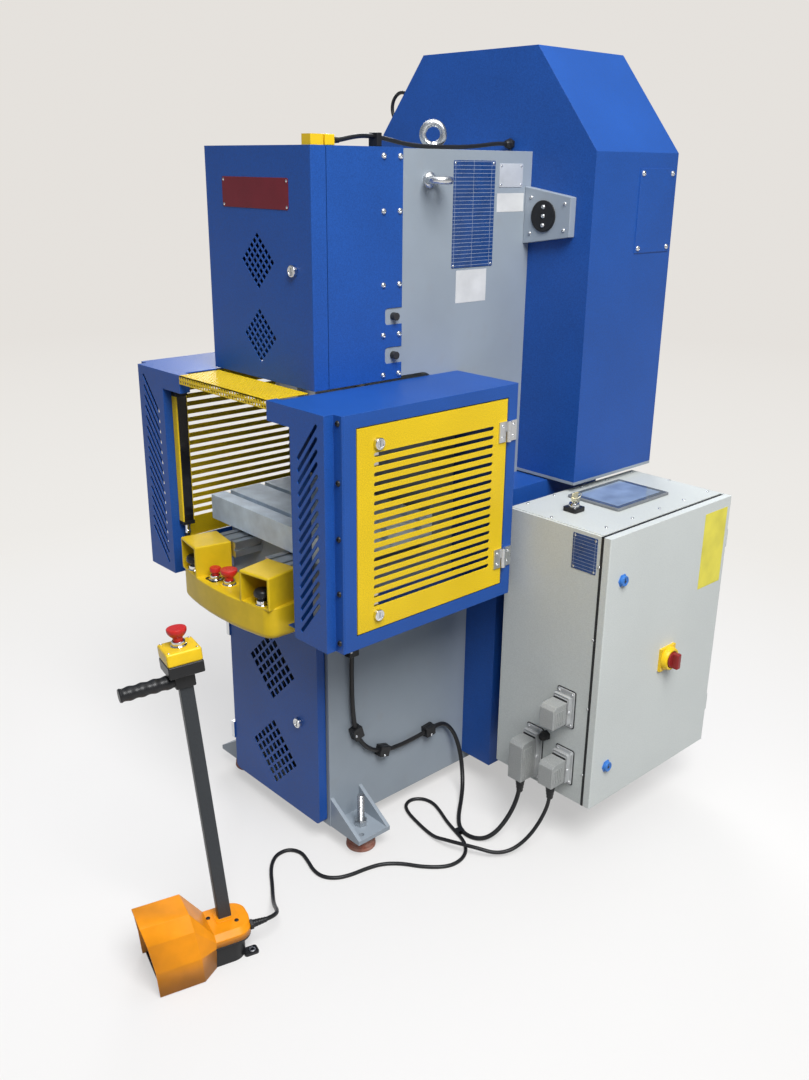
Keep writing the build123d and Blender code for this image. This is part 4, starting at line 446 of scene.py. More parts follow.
class Finish(Nodes):
    """A surface in the making: one shader, with patterns on the piece's own coordinates in the row frame."""

    def __init__(self, name, base, roughness, metallic=0.0):
        self.material = bpy.data.materials.new(name)
        self.material.use_nodes = True
        super().__init__(self.material.node_tree, "Material Output")
        self.shader = self.tree.nodes["Principled BSDF"]
        self.base = tuple(base)
        self.set_up(self.shader, base, roughness, metallic)
        self.coordinates = self.add("ShaderNodeTexCoord").outputs["Object"]
        self.rounded = self.add("ShaderNodeBevel", {"Radius": sizes().edge}, samples=4).outputs["Normal"]
        self.bend(self.rounded)

    def set_up(self, shader, base, roughness, metallic):
        """Sets a shader's even values."""
        self.feed(shader, {"Base Color": (*base, 1.0), "Roughness": roughness, "Metallic": metallic})

    def set(self, socket, value):
        """Sets an input of the surface's shader, or joins it to a socket."""
        self.feed(self.shader, {socket: value})

    def bend(self, normal):
        """Takes a socket as the way the surface faces so far."""
        self.normal = normal
        self.set("Normal", normal)

    def paint(self, colour):
        """Takes a socket as the colour so far."""
        self.colour = colour
        self.set("Base Color", colour)

    def noise(self, size, detail=2.0, stretch=(1, 1, 1)):
        """Noise whose features are about a size in millimetres, longer along a stretched axis."""
        scale = [1 / (size * MM * s) for s in stretch]
        mapping = self.add("ShaderNodeMapping", {"Scale": scale, "Vector": self.coordinates})
        inputs = {"Scale": 1.0, "Detail": detail, "Vector": mapping.outputs["Vector"]}
        return self.add("ShaderNodeTexNoise", inputs).outputs["Fac"]

    def ranged(self, value, low, high, start=0.3, end=0.7):
        """A value brought into a range."""
        inputs = {"Value": value, "From Min": start, "From Max": end, "To Min": low, "To Max": high}
        return self.add("ShaderNodeMapRange", inputs).outputs["Result"]

    def tint(self, factor, dark, light):
        """Shades the base colour between two multiples of itself."""
        ramp = self.add("ShaderNodeValToRGB", {"Fac": factor})
        for stop, share, position in zip(ramp.color_ramp.elements, (dark, light), (0.3, 0.7)):
            stop.position = position
            stop.color = (*(min(channel * share, 1.0) for channel in self.base), 1.0)
        self.paint(ramp.outputs["Color"])

    def mix_in(self, mask, other):
        """Mixes another colour into the colour so far."""
        inputs = {0: mask, 6: self.colour, 7: (*other, 1.0)}
        self.paint(self.add("ShaderNodeMix", inputs, data_type="RGBA").outputs[2])

    def gloss(self, factor, low, high):
        """Varies the roughness between two values."""
        self.set("Roughness", self.ranged(factor, low, high))

    def relief(self, height, depth):
        """Adds a relief of a depth in millimetres."""
        inputs = {"Strength": 1.0, "Distance": depth * MM, "Height": height, "Normal": self.normal}
        self.bend(self.add("ShaderNodeBump", inputs).outputs["Normal"])

    def worn_edges(self, other, most):
        """Mixes a paler colour in along sharp edges: a painted edge highlight, and wear where handling rubs.
        """
        flat = self.add("ShaderNodeNewGeometry").outputs["Normal"]
        facing = self.add("ShaderNodeVectorMath", {0: self.rounded, 1: flat}, operation="DOT_PRODUCT")
        edge = self.ranged(facing.outputs["Value"], most, 0.0, 0.88, 0.995)
        self.mix_in(self.math("MULTIPLY", edge, self.ranged(self.noise(14, 3), 0.2, 1.0)), other)

    def past(self, axis, limit, base, roughness, metallic=0.0, both_sides=False):
        """Past a limit along an axis of the press the surface is another plain metal or plastic."""
        split = self.add("ShaderNodeSeparateXYZ", {0: self.coordinates})
        along = self.math("SUBTRACT", split.outputs[axis], PRESS[axis])
        if both_sides:
            along = self.math("ABSOLUTE", along, 0.0)
        else:
            along = self.math("MULTIPLY", along, math.copysign(1.0, limit))
        mask = self.math("GREATER_THAN", along, abs(limit) * MM)
        other = self.add("ShaderNodeBsdfPrincipled", {"Normal": self.rounded})
        worn = self.ranged(self.noise(9, 3), roughness * 0.8, roughness * 1.25)
        self.set_up(other, shade(base), worn, metallic)
        self.cover(mask, other)


def shade(base):
    """A colour, or the press's own colour of that name."""
    return getattr(colours(), base) if isinstance(base, str) else base


def paler(base, share, lift):
    """A paler colour for the painted highlight and the rubbed wear along edges."""
    return [min(1.0, channel * share + lift) for channel in base]


def powder_coat(name, base, rough=(0.36, 0.52), depth=0.2, shades=(0.74, 1.24)):
    """A baked powder coat: a fine grain, a little drift in its shade, paler along the folds with painted
    highlight and rubbing.
    """
    coat = Finish(name, base, 0.42)
    grain = coat.noise(sizes().coat_grain / MM, 2.0)
    drift = coat.noise(240, 3.0)
    coat.tint(coat.math("ADD", coat.math("MULTIPLY", grain, 0.7), coat.math("MULTIPLY", drift, 0.3)), *shades)
    coat.set("Specular IOR Level", 0.35)
    # painted highlight and wear: the coat is mixed paler along its edges
    coat.worn_edges(paler(base, 1.5, 0.05), 0.5)
    coat.gloss(grain, *rough)
    coat.relief(grain, depth)
    return coat


def brighter_coat(name, base, *settings):
    """A powder coat a tenth brighter than its neighbour's: painted light for a face that the lamp lights
    more.
    """
    return powder_coat(name, [1.1 * channel for channel in base], *settings)


def moulded(name, base, rough=(0.3, 0.42), grain=0.9, depth=0.03):
    """Injection-moulded plastic with a fine spark-eroded grain."""
    plastic = Finish(name, base, 0.36)
    skin = plastic.noise(grain, 2.0)
    plastic.set("Specular IOR Level", 0.35)
    plastic.tint(plastic.noise(60, 3.0), 0.9, 1.1)
    # painted highlight and wear: the plastic is mixed paler along its edges
    plastic.worn_edges(paler(base, 1.35, 0.02), 0.45)
    plastic.gloss(skin, *rough)
    plastic.relief(skin, depth)
    return plastic


def dusty_rubber(name, base, *settings):
    """Moulded rubber with dust on its ribs."""
    rubber = moulded(name, base, *settings)
    rubber.mix_in(rubber.ranged(rubber.noise(16, 4.0), 0.0, 0.5), (0.5, 0.36, 0.3))
    return rubber


def metal(name, base, rough=(0.22, 0.4), grain=1.6, depth=0.02, stretch=(1, 1, 1)):
    """Bare or plated metal with marks along the way it was worked."""
    bare = Finish(name, base, 0.3, 1.0)
    marks = bare.noise(grain, 4.0, stretch)
    bare.tint(bare.noise(45, 4.0), 0.84, 1.08)
    bare.gloss(marks, *rough)
    bare.relief(marks, depth)
    return bare


def thick_paint(name, base):
    """Brushed and sprayed paint with the peel of a thick coat."""
    paint = Finish(name, base, 0.4)
    peel = paint.noise(5.0, 2.0)
    paint.tint(paint.noise(320, 4.0), 0.9, 1.07)
    # painted highlight and wear: the paint is mixed paler along its edges
    paint.worn_edges((0.62, 0.64, 0.66), 0.55)
    paint.mix_in(paint.ranged(paint.noise(55, 6.0), 0.0, 0.35, 0.6, 0.78), (0.3, 0.31, 0.32))
    paint.gloss(paint.noise(90, 3.0), 0.32, 0.5)
    paint.relief(peel, 0.12)
    return paint


def smeared_glass(name, ground):
    """Glass over a coloured ground, faintly smeared."""
    glass = Finish(name, ground, 0.12)
    glass.tint(glass.noise(70, 2.0), 0.8, 1.3)
    glass.gloss(glass.noise(35, 4.0), 0.05, 0.16)
    glass.set("Coat Weight", 0.6)
    glass.set("Coat Roughness", 0.04)
    return glass


def dark_window(name, base):
    """A glossy dark window."""
    window = Finish(name, base, 0.12)
    window.tint(window.noise(22, 2.0), 0.7, 1.4)
    window.gloss(window.noise(30, 3.0), 0.06, 0.2)
    return window


def ruled_enamel(name, base):
    """Enamel ruled in pale rows with no letters."""
    enamel = Finish(name, base, 0.3)
    enamel.tint(enamel.noise(40, 3.0), 0.85, 1.15)
    split = enamel.add("ShaderNodeSeparateXYZ", {0: enamel.coordinates}).outputs
    across = enamel.math("ADD", split[X], split[Y])
    flat = enamel.add("ShaderNodeCombineXYZ", {0: across, 1: split[Z]}).outputs[0]
    ruling = {"Scale": 1.0, "Mortar Size": 0.0005, "Brick Width": 0.062, "Row Height": 0.0088, "Vector": flat}
    rules = enamel.add("ShaderNodeTexBrick", ruling, offset=0.0)
    enamel.mix_in(enamel.math("MULTIPLY", rules.outputs["Fac"], 0.55), (0.55, 0.6, 0.66))
    enamel.gloss(enamel.noise(25, 3.0), 0.22, 0.4)
    return enamel


def finish(name, maker, base, *settings, metallic=None, past=()):
    """A finish that is made the first time a piece asks for it, with what its surface is past each limit."""
    name += "_finish"

    def look():
        made = bpy.data.materials.get(name)
        if not made:
            surface = maker(name, shade(base), *settings)
            if metallic is not None:
                surface.set("Metallic", metallic)
            for limit in past:
                surface.past(*limit)
            made = surface.material
        return made

    return look


# Coats and paints, with the hinge halves, plates and actuators that are made in one with a door
ZINC = (0.66, 0.67, 0.68)
STEEL = (0.55, 0.58, 0.61)
COVER_HINGES = (X, -202.4, ZINC, 0.35, 1.0)
LOWER_HINGES = (X, -191.4, ZINC, 0.35, 1.0)
GUARD_HINGES = (X, 407.4, ZINC, 0.32, 1.0, True)
ACTUATOR = (Z, 1726.4, "signal_yellow", 0.38)
ISOLATOR_PLATE = (X, 685.4, "signal_yellow", 0.36)
GLOSSY, EGGSHELL = (0.3, 0.42), (0.38, 0.52)
blue_coat = finish("blue_coat", powder_coat, "blue_coat")
blue_hinged_left = finish("blue_hinged_left", powder_coat, "blue_coat", past=[COVER_HINGES])
blue_head_door = finish("blue_head_door", powder_coat, "blue_coat", past=[COVER_HINGES, ACTUATOR])
blue_lower_door = finish("blue_lower_door", powder_coat, "blue_coat", past=[LOWER_HINGES])
blue_guard = finish("blue_guard", powder_coat, "blue_coat", past=[GUARD_HINGES])
yellow_coat = finish("yellow_coat", powder_coat, "yellow_coat", GLOSSY, 0.08)
yellow_guard_door = finish("yellow_guard_door", powder_coat, "yellow_coat", GLOSSY, 0.08, past=[GUARD_HINGES])
frame_paint = finish("frame_paint", thick_paint, "frame_grey")
cabinet_coat = finish("cabinet_coat", powder_coat, "cabinet_grey", EGGSHELL, 0.1, (0.9, 1.08))
# painted light: the door has the shell's coat, painted a tenth brighter for its lit side
cabinet_door_coat = finish(
    "cabinet_door_coat", brighter_coat, "cabinet_grey", EGGSHELL, 0.1, (0.9, 1.08), past=[ISOLATOR_PLATE]
)
pole_coat = finish("pole_coat", powder_coat, "pole_grey", (0.36, 0.5), 0.14)
motor_paint = finish("motor_paint", powder_coat, (0.10, 0.14, 0.15), (0.35, 0.5), 0.1)
hood_casting = finish("hood_casting", powder_coat, "hood_grey", (0.42, 0.58), 0.1, metallic=0.25)

# Metals; ground and drawn ones have long marks along one axis
GIB_SCREWS = (X, 200.2, (0.02, 0.02, 0.022), 0.4, 0.0, True)
GROUND_ACROSS, GROUND_UP = (40, 1, 1), (1, 1, 30)
ground_steel = finish("ground_steel", metal, STEEL, (0.28, 0.46), 0.7, 0.012, GROUND_ACROSS, metallic=0.55)
# painted light: the bolster's steel is paler and bluer than the ground steel, for light that its shaded place
# under the head lacks
bolster_steel = finish(
    "bolster_steel", metal, (0.70, 0.81, 0.92), (0.42, 0.58), 0.7, 0.012, GROUND_ACROSS, metallic=0.15
)
gib_steel = finish("gib_steel", metal, STEEL, (0.26, 0.42), 0.7, 0.012, GROUND_UP, past=[GIB_SCREWS])
bright_zinc = finish("bright_zinc", metal, ZINC, (0.2, 0.38), 2.4, 0.03)
flange_zinc = finish("flange_zinc", metal, (0.60, 0.61, 0.61), (0.34, 0.5), 2.0, 0.05, metallic=0.4)
chrome = finish("chrome", metal, (0.72, 0.72, 0.73), (0.07, 0.16), 1.2, 0.004, (1, 1, 6))
arm_aluminium = finish("arm_aluminium", metal, (0.60, 0.61, 0.62), (0.3, 0.46), 0.8, 0.015, (1, 60, 1))
bearing_bronze = finish("bearing_bronze", metal, (0.55, 0.34, 0.13), (0.25, 0.4), 1.0, 0.02, (1, 8, 1))
grey_iron = finish("grey_iron", metal, (0.22, 0.22, 0.22), (0.4, 0.62), 2.0, 0.15, metallic=0.8)
key_brass = finish("key_brass", metal, (0.86, 0.79, 0.58), (0.24, 0.38), 1.4, 0.02)

# Plastics, rubber and glass
desk_moulding = finish("desk_moulding", moulded, "desk_yellow", (0.32, 0.45), 1.4, 0.05)
black_plastic = finish("black_plastic", moulded, "black")
red_plastic = finish("red_plastic", moulded, "red", (0.24, 0.36))
# painted shade: the isolator knob's red is a darker copy of the buttons' red
knob_plastic = finish("knob_plastic", moulded, (0.27, 0.018, 0.018), (0.26, 0.4))
signal_plastic = finish("signal_plastic", moulded, "signal_yellow")
orange_plastic = finish("orange_plastic", moulded, "orange", (0.3, 0.44), 1.6, 0.05)
lock_plastic = finish("lock_plastic", moulded, "lock_blue")
bezel_plastic = finish("bezel_plastic", moulded, (0.20, 0.21, 0.22), (0.4, 0.55))
belt_rubber = finish("belt_rubber", moulded, (0.018, 0.018, 0.019), (0.55, 0.75), 1.5, 0.08)
cord_sheath = finish("cord_sheath", moulded, (0.013, 0.013, 0.014), (0.3, 0.5), 2.2, 0.05)
pad_rubber = finish("pad_rubber", dusty_rubber, "pad_rubber", (0.6, 0.8), 3.0, 0.15)
screen_glass = finish("screen_glass", smeared_glass, (0.27, 0.35, 0.48))
border_glass = finish("border_glass", smeared_glass, (0.09, 0.11, 0.135))
lens_window = finish("lens_window", dark_window, (0.008, 0.007, 0.009))

# Plates, stickers and the card, all of them blank
plate_enamel = finish("plate_enamel", ruled_enamel, (0.012, 0.052, 0.19))
etched_plate = finish("etched_plate", moulded, (0.52, 0.54, 0.57), (0.4, 0.55), 3.0, 0.02)
white_vinyl = finish("white_vinyl", moulded, (0.66, 0.66, 0.65), (0.42, 0.55), 3.0, 0.02)
yellow_card = finish("yellow_card", moulded, (0.84, 0.74, 0.09), (0.42, 0.55), 3.0, 0.02)
red_enamel = finish("red_enamel", moulded, (0.17, 0.010, 0.02), (0.4, 0.52), 3.0, 0.02)

# Which finish each plain part takes, by its slot in the record, with the parts that differ
SLOT_FINISH = {
    "frame_paint": frame_paint,
    "blue_paint": blue_coat,
    "yellow_paint": yellow_coat,
    "cabinet_paint": cabinet_coat,
    "machined_steel": ground_steel,
    "bearing_bronze": bearing_bronze,
    "grey_iron": grey_iron,
    "belt_rubber": belt_rubber,
    "motor_body": motor_paint,
    "bright_zinc": bright_zinc,
    "arm_aluminium": arm_aluminium,
    "black_plastic": black_plastic,
    "red_plastic": red_plastic,
    "yellow_plastic": signal_plastic,
    "orange_plastic": orange_plastic,
    "blue_plastic": lock_plastic,
    "pole_paint": pole_coat,
}
NODE_FINISH = {
    "head_cover": blue_hinged_left,
    "head_door": blue_head_door,
    "lower_door": blue_lower_door,
    "right_guard": blue_guard,
    "left_guard": blue_guard,
    "right_guard_door": yellow_guard_door,
    "left_guard_door": yellow_guard_door,
    "cabinet_door": cabinet_door_coat,
    "ram_gibs": gib_steel,
    "bolster_plate": bolster_steel,
    "control_desk": desk_moulding,
}


class PRESS_OT_finishes(bpy.types.Operator):
    """Give every plain part its finish"""

    bl_idname = "press.finishes"
    bl_label = "Finishes"

    def execute(self, context):
        for part in frame["record"]["subparts"]:
            name = part["node"]
            material = NODE_FINISH.get(name, SLOT_FINISH[part["material_slot"]])()
            slots = frame["nodes"][name].data.materials
            slots.clear()
            slots.append(material)
        return {"FINISHED"}


# Stage


class PRESS_OT_stage(bpy.types.Operator):
    """Set up the floor, the light of the room and the camera of the photograph"""

    bl_idname = "press.stage"
    bl_label = "Stage"

    CAMERA_SPOT = (2003, -1654, 1688)
    # each lamp's place, the point it looks at, its size in metres and the setting that holds its power
    LAMPS = {
        "key_lamp": ((4000, -1700, 5900), (0, -100, 800), 4.0, "key_power"),
        "top_lamp": ((300, 100, 3700), (100, 0, 900), 2.8, "top_power"),
        "window_lamp": ((-3600, 3300, 3300), (0, 0, 1300), 3.0, "window_power"),
    }
    ROOM_COLOUR = (0.84, 0.94, 1.1, 1.0)
    FLOOR_SIDE = 60.0
    FLOOR_SHADE = 0.86
    FLOOR_BOUNCE = (0.27, 0.265, 0.26)
    FAR_FLOOR_STOP = 0.25
    # distances from the press in metres, between which the floor fades
    BACKDROP_FADE = (0.8, 9.0)
    SHADOW_FADE = (0.9, 2.6)

    def execute(self, context):
        self.camera(context.scene)
        self.floor(context.scene)
        self.room(context.scene)
        for name, (spot, target, size, power) in self.LAMPS.items():
            self.lamp(context.scene, name, row(*spot), row(*target), size, getattr(sizes(), power))
        context.scene.view_settings.view_transform = "Standard"
        return {"FINISHED"}

    def camera(self, scene):
        """The photograph's point of view."""
        yaw, pitch, roll = sizes().camera_yaw, sizes().camera_pitch, sizes().camera_roll
        level_way = Vector((-math.sin(yaw), math.cos(yaw), 0.0))
        ahead = math.cos(pitch) * level_way - math.sin(pitch) * UP
        across = Vector((math.cos(yaw), math.sin(yaw), 0.0))
        above = across.cross(ahead)
        level = math.cos(roll) * across + math.sin(roll) * above
        upright = math.cos(roll) * above - math.sin(roll) * across
        data = bpy.data.cameras.new("photograph_camera")
        data.sensor_fit = "VERTICAL"
        data.sensor_height = 36.0
        data.lens = sizes().lens
        camera = bpy.data.objects.new("photograph_camera", data)
        camera.matrix_world = Matrix((level, upright, -ahead)).transposed().to_4x4()
        camera.location = row(*self.CAMERA_SPOT)
        scene.collection.objects.link(camera)
        scene.camera = camera

    def floor(self, scene):
        """A pale floor that keeps the press's shadow and fades into the backdrop further out."""
        shape = sheet(self.FLOOR_SIDE, self.FLOOR_SIDE)
        data = bpy.data.meshes.new("floor")
        shape.to_mesh(data)
        shape.free()
        look = Finish("floor_coat", [self.FLOOR_SHADE * channel for channel in colours().floor], 0.9)
        look.tint(look.noise(900, 2.0), 0.985, 1.01)
        look.set("Specular IOR Level", 0.1)
        reach = look.add("ShaderNodeVectorMath", {0: look.coordinates}, operation="LENGTH")
        distance = reach.outputs["Value"]
        tones = look.add("ShaderNodeValToRGB")
        stops = tones.color_ramp.elements
        stops.new(self.FAR_FLOOR_STOP)
        for stop, tone in zip(stops, (colours().floor, colours().far_floor, colours().backdrop)):
            stop.color = (*tone, 1.0)
        look.feed(tones, {"Fac": look.ranged(distance, 0.0, 1.0, *self.BACKDROP_FADE)})
        backdrop = look.add("ShaderNodeEmission", {"Color": tones.outputs["Color"]})
        seen = look.add("ShaderNodeLightPath").outputs
        look.mix_in(seen["Is Diffuse Ray"], self.FLOOR_BOUNCE)
        showing = look.math("MAXIMUM", seen["Is Camera Ray"], seen["Is Glossy Ray"])
        showing = look.math("MAXIMUM", showing, seen["Is Transmission Ray"])
        plain = look.ranged(distance, 0.5, 1.0, *self.SHADOW_FADE)
        look.cover(look.math("MULTIPLY", plain, showing), backdrop)
        data.materials.append(look.material)
        floor = bpy.data.objects.new("floor", data)
        scene.collection.objects.link(floor)

    def room(self, scene):
        """Even light all round, in front of a backdrop that the camera sees."""
        world = bpy.data.worlds.new("room")
        world.use_nodes = True
        room = Nodes(world.node_tree, "World Output")
        light = {"Color": self.ROOM_COLOUR, "Strength": sizes().room_light}
        room.feed(world.node_tree.nodes["Background"], light)
        backdrop = room.add("ShaderNodeBackground", {"Color": (*colours().backdrop, 1.0)})
        seen = room.add("ShaderNodeLightPath").outputs
        room.cover(room.math("MAXIMUM", seen["Is Camera Ray"], seen["Is Transmission Ray"]), backdrop)
        scene.world = world

    @staticmethod
    def lamp(scene, name, spot, target, size, power):
        """A large soft lamp that looks at a point of the press."""
        data = bpy.data.lights.new(name, "AREA")
        data.shape = "DISK"
        data.size = size
        data.energy = power
        lamp = bpy.data.objects.new(name, data)
        lamp.location = spot
        lamp.rotation_euler = (target - spot).to_track_quat("-Z", "Y").to_euler()
        scene.collection.objects.link(lamp)


# Cables and cords: the points of each route in press coordinates
CABLE_RADIUS = 6.0
CORD_RADIUS = 5.0
CABLE_X = 212.0
COLUMN_ROUTE = [(CABLE_X, y, z) for y, z in (
    (-167, 640), (-168.5, 596), (-167, 544), (-168.5, 490), (-168, 434), (-166, 380), (-160, 329),
    (-146, 284), (-120, 248), (-84, 223), (-42, 210.5), (2, 206.5), (46, 207), (90, 210), (128, 213.8),
)]
HEAD_ROUTE = (
    (180, -190, 1737), (180, -168, 1737), (176, -140, 1742), (167, -104, 1747), (157, -70, 1748.5),
    (150, -36, 1747.5), (146, 2, 1743), (143, 46, 1736), (140, 96, 1731), (136, 150, 1730),
    (131, 206, 1730.5), (127, 262, 1731.5), (126, 316, 1734.5), (127, 366, 1740), (128, 392, 1742),
    (128, 416, 1742),
)
SENSOR_ROUTE = (
    (CABLE_X, 128, 213.8), (CABLE_X, 150, 216), (213.5, 176, 205), (219, 198, 177), (227.5, 210, 140),
    (239, 213, 100), (255, 205, 60), (278, 184, 28), (305, 151, 9.5), (330, 119, 6.2), (354, 91, 6.2),
    (382, 65, 6.2), (412, 51, 6.2), (445, 54, 6.2), (471, 71, 10.5), (487, 95, 27), (494, 122, 52),
    (497, 146, 80), (497, 164, 110), (497, 172, 141), (497, 172, 163),
)
# the foot switch's cord drops from its gland, lies on the floor and rises over the other cable to its plug
FLOOR_Z = 5.2
PEDAL_ROUTE = (
    (396.638, -600.347, 73), (402.647, -577.111, 73), (395, -549, 66.5), (371, -532, 53), (340, -516, 34),
    (307, -497, 17), (273, -475, 6.4),
    *((x, y, FLOOR_Z) for x, y in (
        (240, -453), (206, -432), (175, -408), (152, -376), (155, -339), (187, -322), (226, -331),
        (265, -344), (302, -343), (330, -319), (344, -282), (350, -240), (363, -196), (395, -158),
        (441, -128), (482, -83), (489, -40), (473, 0), (437, 28), (391, 41), (344, 55), (298, 75),
        (257, 88), (223, 81), (203, 54), (212, 22), (243, 4), (288, -7), (336, -16),
    )),
    (376, -22, 9), (412, -22, 21), (447, -15, 27), (503, 12, 27), (533, 38, 16), (553, 72, 15),
    (569, 103, 32), (582, 131, 62), (591, 153, 98), (597, 167, 134), (598, 172, 166), (598, 172, 192),
)
LOOP_RADIUS = 40.0
LOOP_SEAT = (-309.9, 470.0, 1833.45)
LOOP_SLOPE = math.atan2(241, 198)


def loop_route():
    """The short loop that stands square on the belt guard's left slope."""
    arcs = 6
    step = math.pi / arcs
    corner = LOOP_RADIUS / math.cos(step / 2)
    stem = LOOP_RADIUS * math.tan(step / 2)
    spots = [(LOOP_RADIUS, 0.0, 0.0)]
    spots += [(corner, (arc + 0.5) * step, stem) for arc in range(arcs)]
    spots.append((LOOP_RADIUS, math.pi, 0.0))
    seat_x, seat_y, seat_z = LOOP_SEAT
    route = []
    for reach, turn, rise in spots:
        along, out = reach * math.cos(turn), reach * math.sin(turn) + rise
        x = seat_x + along * math.cos(LOOP_SLOPE) - out * math.sin(LOOP_SLOPE)
        z = seat_z + along * math.sin(LOOP_SLOPE) + out * math.cos(LOOP_SLOPE)
        route.append((x, seat_y, z))
    return route


def cable(name, route, radius, *nodes):
    """A round cable on one smooth line through its route."""
    curve = bpy.data.curves.new(name, "CURVE")
    curve.dimensions = "3D"
    curve.bevel_depth = radius * MM
    curve.bevel_resolution = 4
    curve.resolution_u = 8
    curve.use_fill_caps = True
    line = curve.splines.new("NURBS")
    line.points.add(len(route) - 1)
    for point, spot in zip(line.points, route):
        point.co = (*row(*spot), 1.0)
    line.order_u = 3
    line.use_endpoint_u = True
    curve.materials.append(cord_sheath())
    return settle(bpy.data.objects.new(name, curve), MACHINE, "belt_rubber", *nodes)


class PRESS_OT_cables(bpy.types.Operator):
    """Lay the held cables, the sensor cable and the foot switch's cord"""

    bl_idname = "press.cables"
    bl_label = "Cables and cords"

    TAPE = ((0.93, -9.0), (1.0, -8.0), (1.0, 8.0), (0.93, 9.0))
    TAPE_HALF = (14.5, 6.4, 1.0)
    TAPE_WAY = Vector((0.92, -0.38, 0.0))

    def execute(self, context):
        cable("column_cable", COLUMN_ROUTE, CABLE_RADIUS, "held_cables")
        cable("head_cable", HEAD_ROUTE, CORD_RADIUS)
        cable("guard_loop", loop_route(), CORD_RADIUS)
        sensor = cable("sensor_line", SENSOR_ROUTE, CABLE_RADIUS, "sensor_cable")
        pedal = cable("foot_switch_line", PEDAL_ROUTE, CORD_RADIUS, "pedal_cord")
        # a turn of tape round both cords where they lie side by side
        sleeve = turned(self.TAPE)
        bmesh.ops.scale(sleeve, vec=self.TAPE_HALF, verts=sleeve.verts)
        where = place(399, 49, 6.6, self.TAPE_WAY)
        single("cord_tape", "belt_rubber", MACHINE, sleeve, where, cord_sheath())
        return {"FINISHED"}


class PRESS_OT_clips(bpy.types.Operator):
    """Fit the cable clips and the glands"""

    bl_idname = "press.clips"
    bl_label = "Cable clips"

    # y and z of each clip on the cheek, and the way its cable runs there in degrees
    CLIP_SPOTS = ((-167.5, 548, 90), (-153, 306, 107), (-62, 216.5, 163), (108, 211.8, 185.7))
    CLIP = ((-17, 17), (-15, 15))
    CLIP_FOOT, CLIP_LID = (0, 11.4), (12.2, 24)
    HEAD_CLIP = ((135, 165), (-45.5, -30.5))
    HEAD_CLIP_TALL = 30
    GUARD_DOME = ((0, 8), (10.6, 8), (10.6, 14), (9.2, 20), (7, 26), (0, 26))
    HEAD_DOME = ((0, 9), (11, 9), (11, 15), (9, 20), (6.5, 24), (0, 24))

    def execute(self, context):
        clips = Piece("clips_and_glands", "black_plastic")
        black = black_plastic()
        for y, z, degrees in self.CLIP_SPOTS:
            spot = place(CHEEK_X, y, z, RIGHT, math.radians(degrees))
            clips.join(block(*self.CLIP, self.CLIP_FOOT, 1.6), spot, black)
            clips.join(block(*self.CLIP, self.CLIP_LID, 2.6, 3), spot, black)
            clips.screw([at(spot, 0, 10.5, self.CLIP_LID[1])], 3.4, 2.2, 12)
        clips.gland(place(CABLE_X, -167, 666, DOWN), 22, 9, self.GUARD_DOME)
        head_top = span("head_cover")[1].z
        tall = (head_top, head_top + self.HEAD_CLIP_TALL)
        clips.join(block(*self.HEAD_CLIP, tall, 2.2, 3), ORIGIN, black)
        clips.gland(place(128, 440, 1742, FRONT), 23, 10, self.HEAD_DOME)
        clips.finish("cable_clips")
        return {"FINISHED"}


# Fittings


class PRESS_OT_screws(bpy.types.Operator):
    """Drive the button-head screws of the covers, wings and panel"""

    bl_idname = "press.screws"
    bl_label = "Button-head screws"

    HEAD_HEIGHT = 4.5
    COVER_HEIGHTS = (1707, 1591, 1430, 1316, 1223)
    COVER_ROWS = (-58, -9)
    WING_HEIGHTS = (1188, 1060, 935, 808, 690)
    WING_X, WING_Y = 394, -352.5
    PANEL_X = 401
    PANEL_ROWS = (634, 760)
    PANEL_HEIGHTS = (1495, 1676)

    def execute(self, context):
        screws = Piece("cover_screws", "bright_zinc")
        head = (sizes().screw_head / MM, self.HEAD_HEIGHT)
        for out in (RIGHT, LEFT):
            cover = [(out.x * COVER_X, y, z) for z in self.COVER_HEIGHTS for y in self.COVER_ROWS]
            screws.screw([place(*spot, out) for spot in cover], *head)
            wing = [place(out.x * self.WING_X, self.WING_Y, z, FRONT) for z in self.WING_HEIGHTS]
            screws.screw(wing, *head, finish=black_plastic())
        panel = [place(self.PANEL_X, y, z, RIGHT) for y in self.PANEL_ROWS for z in self.PANEL_HEIGHTS]
        screws.screw(panel, *head)
        screws.finish("button_screws")
        return {"FINISHED"}


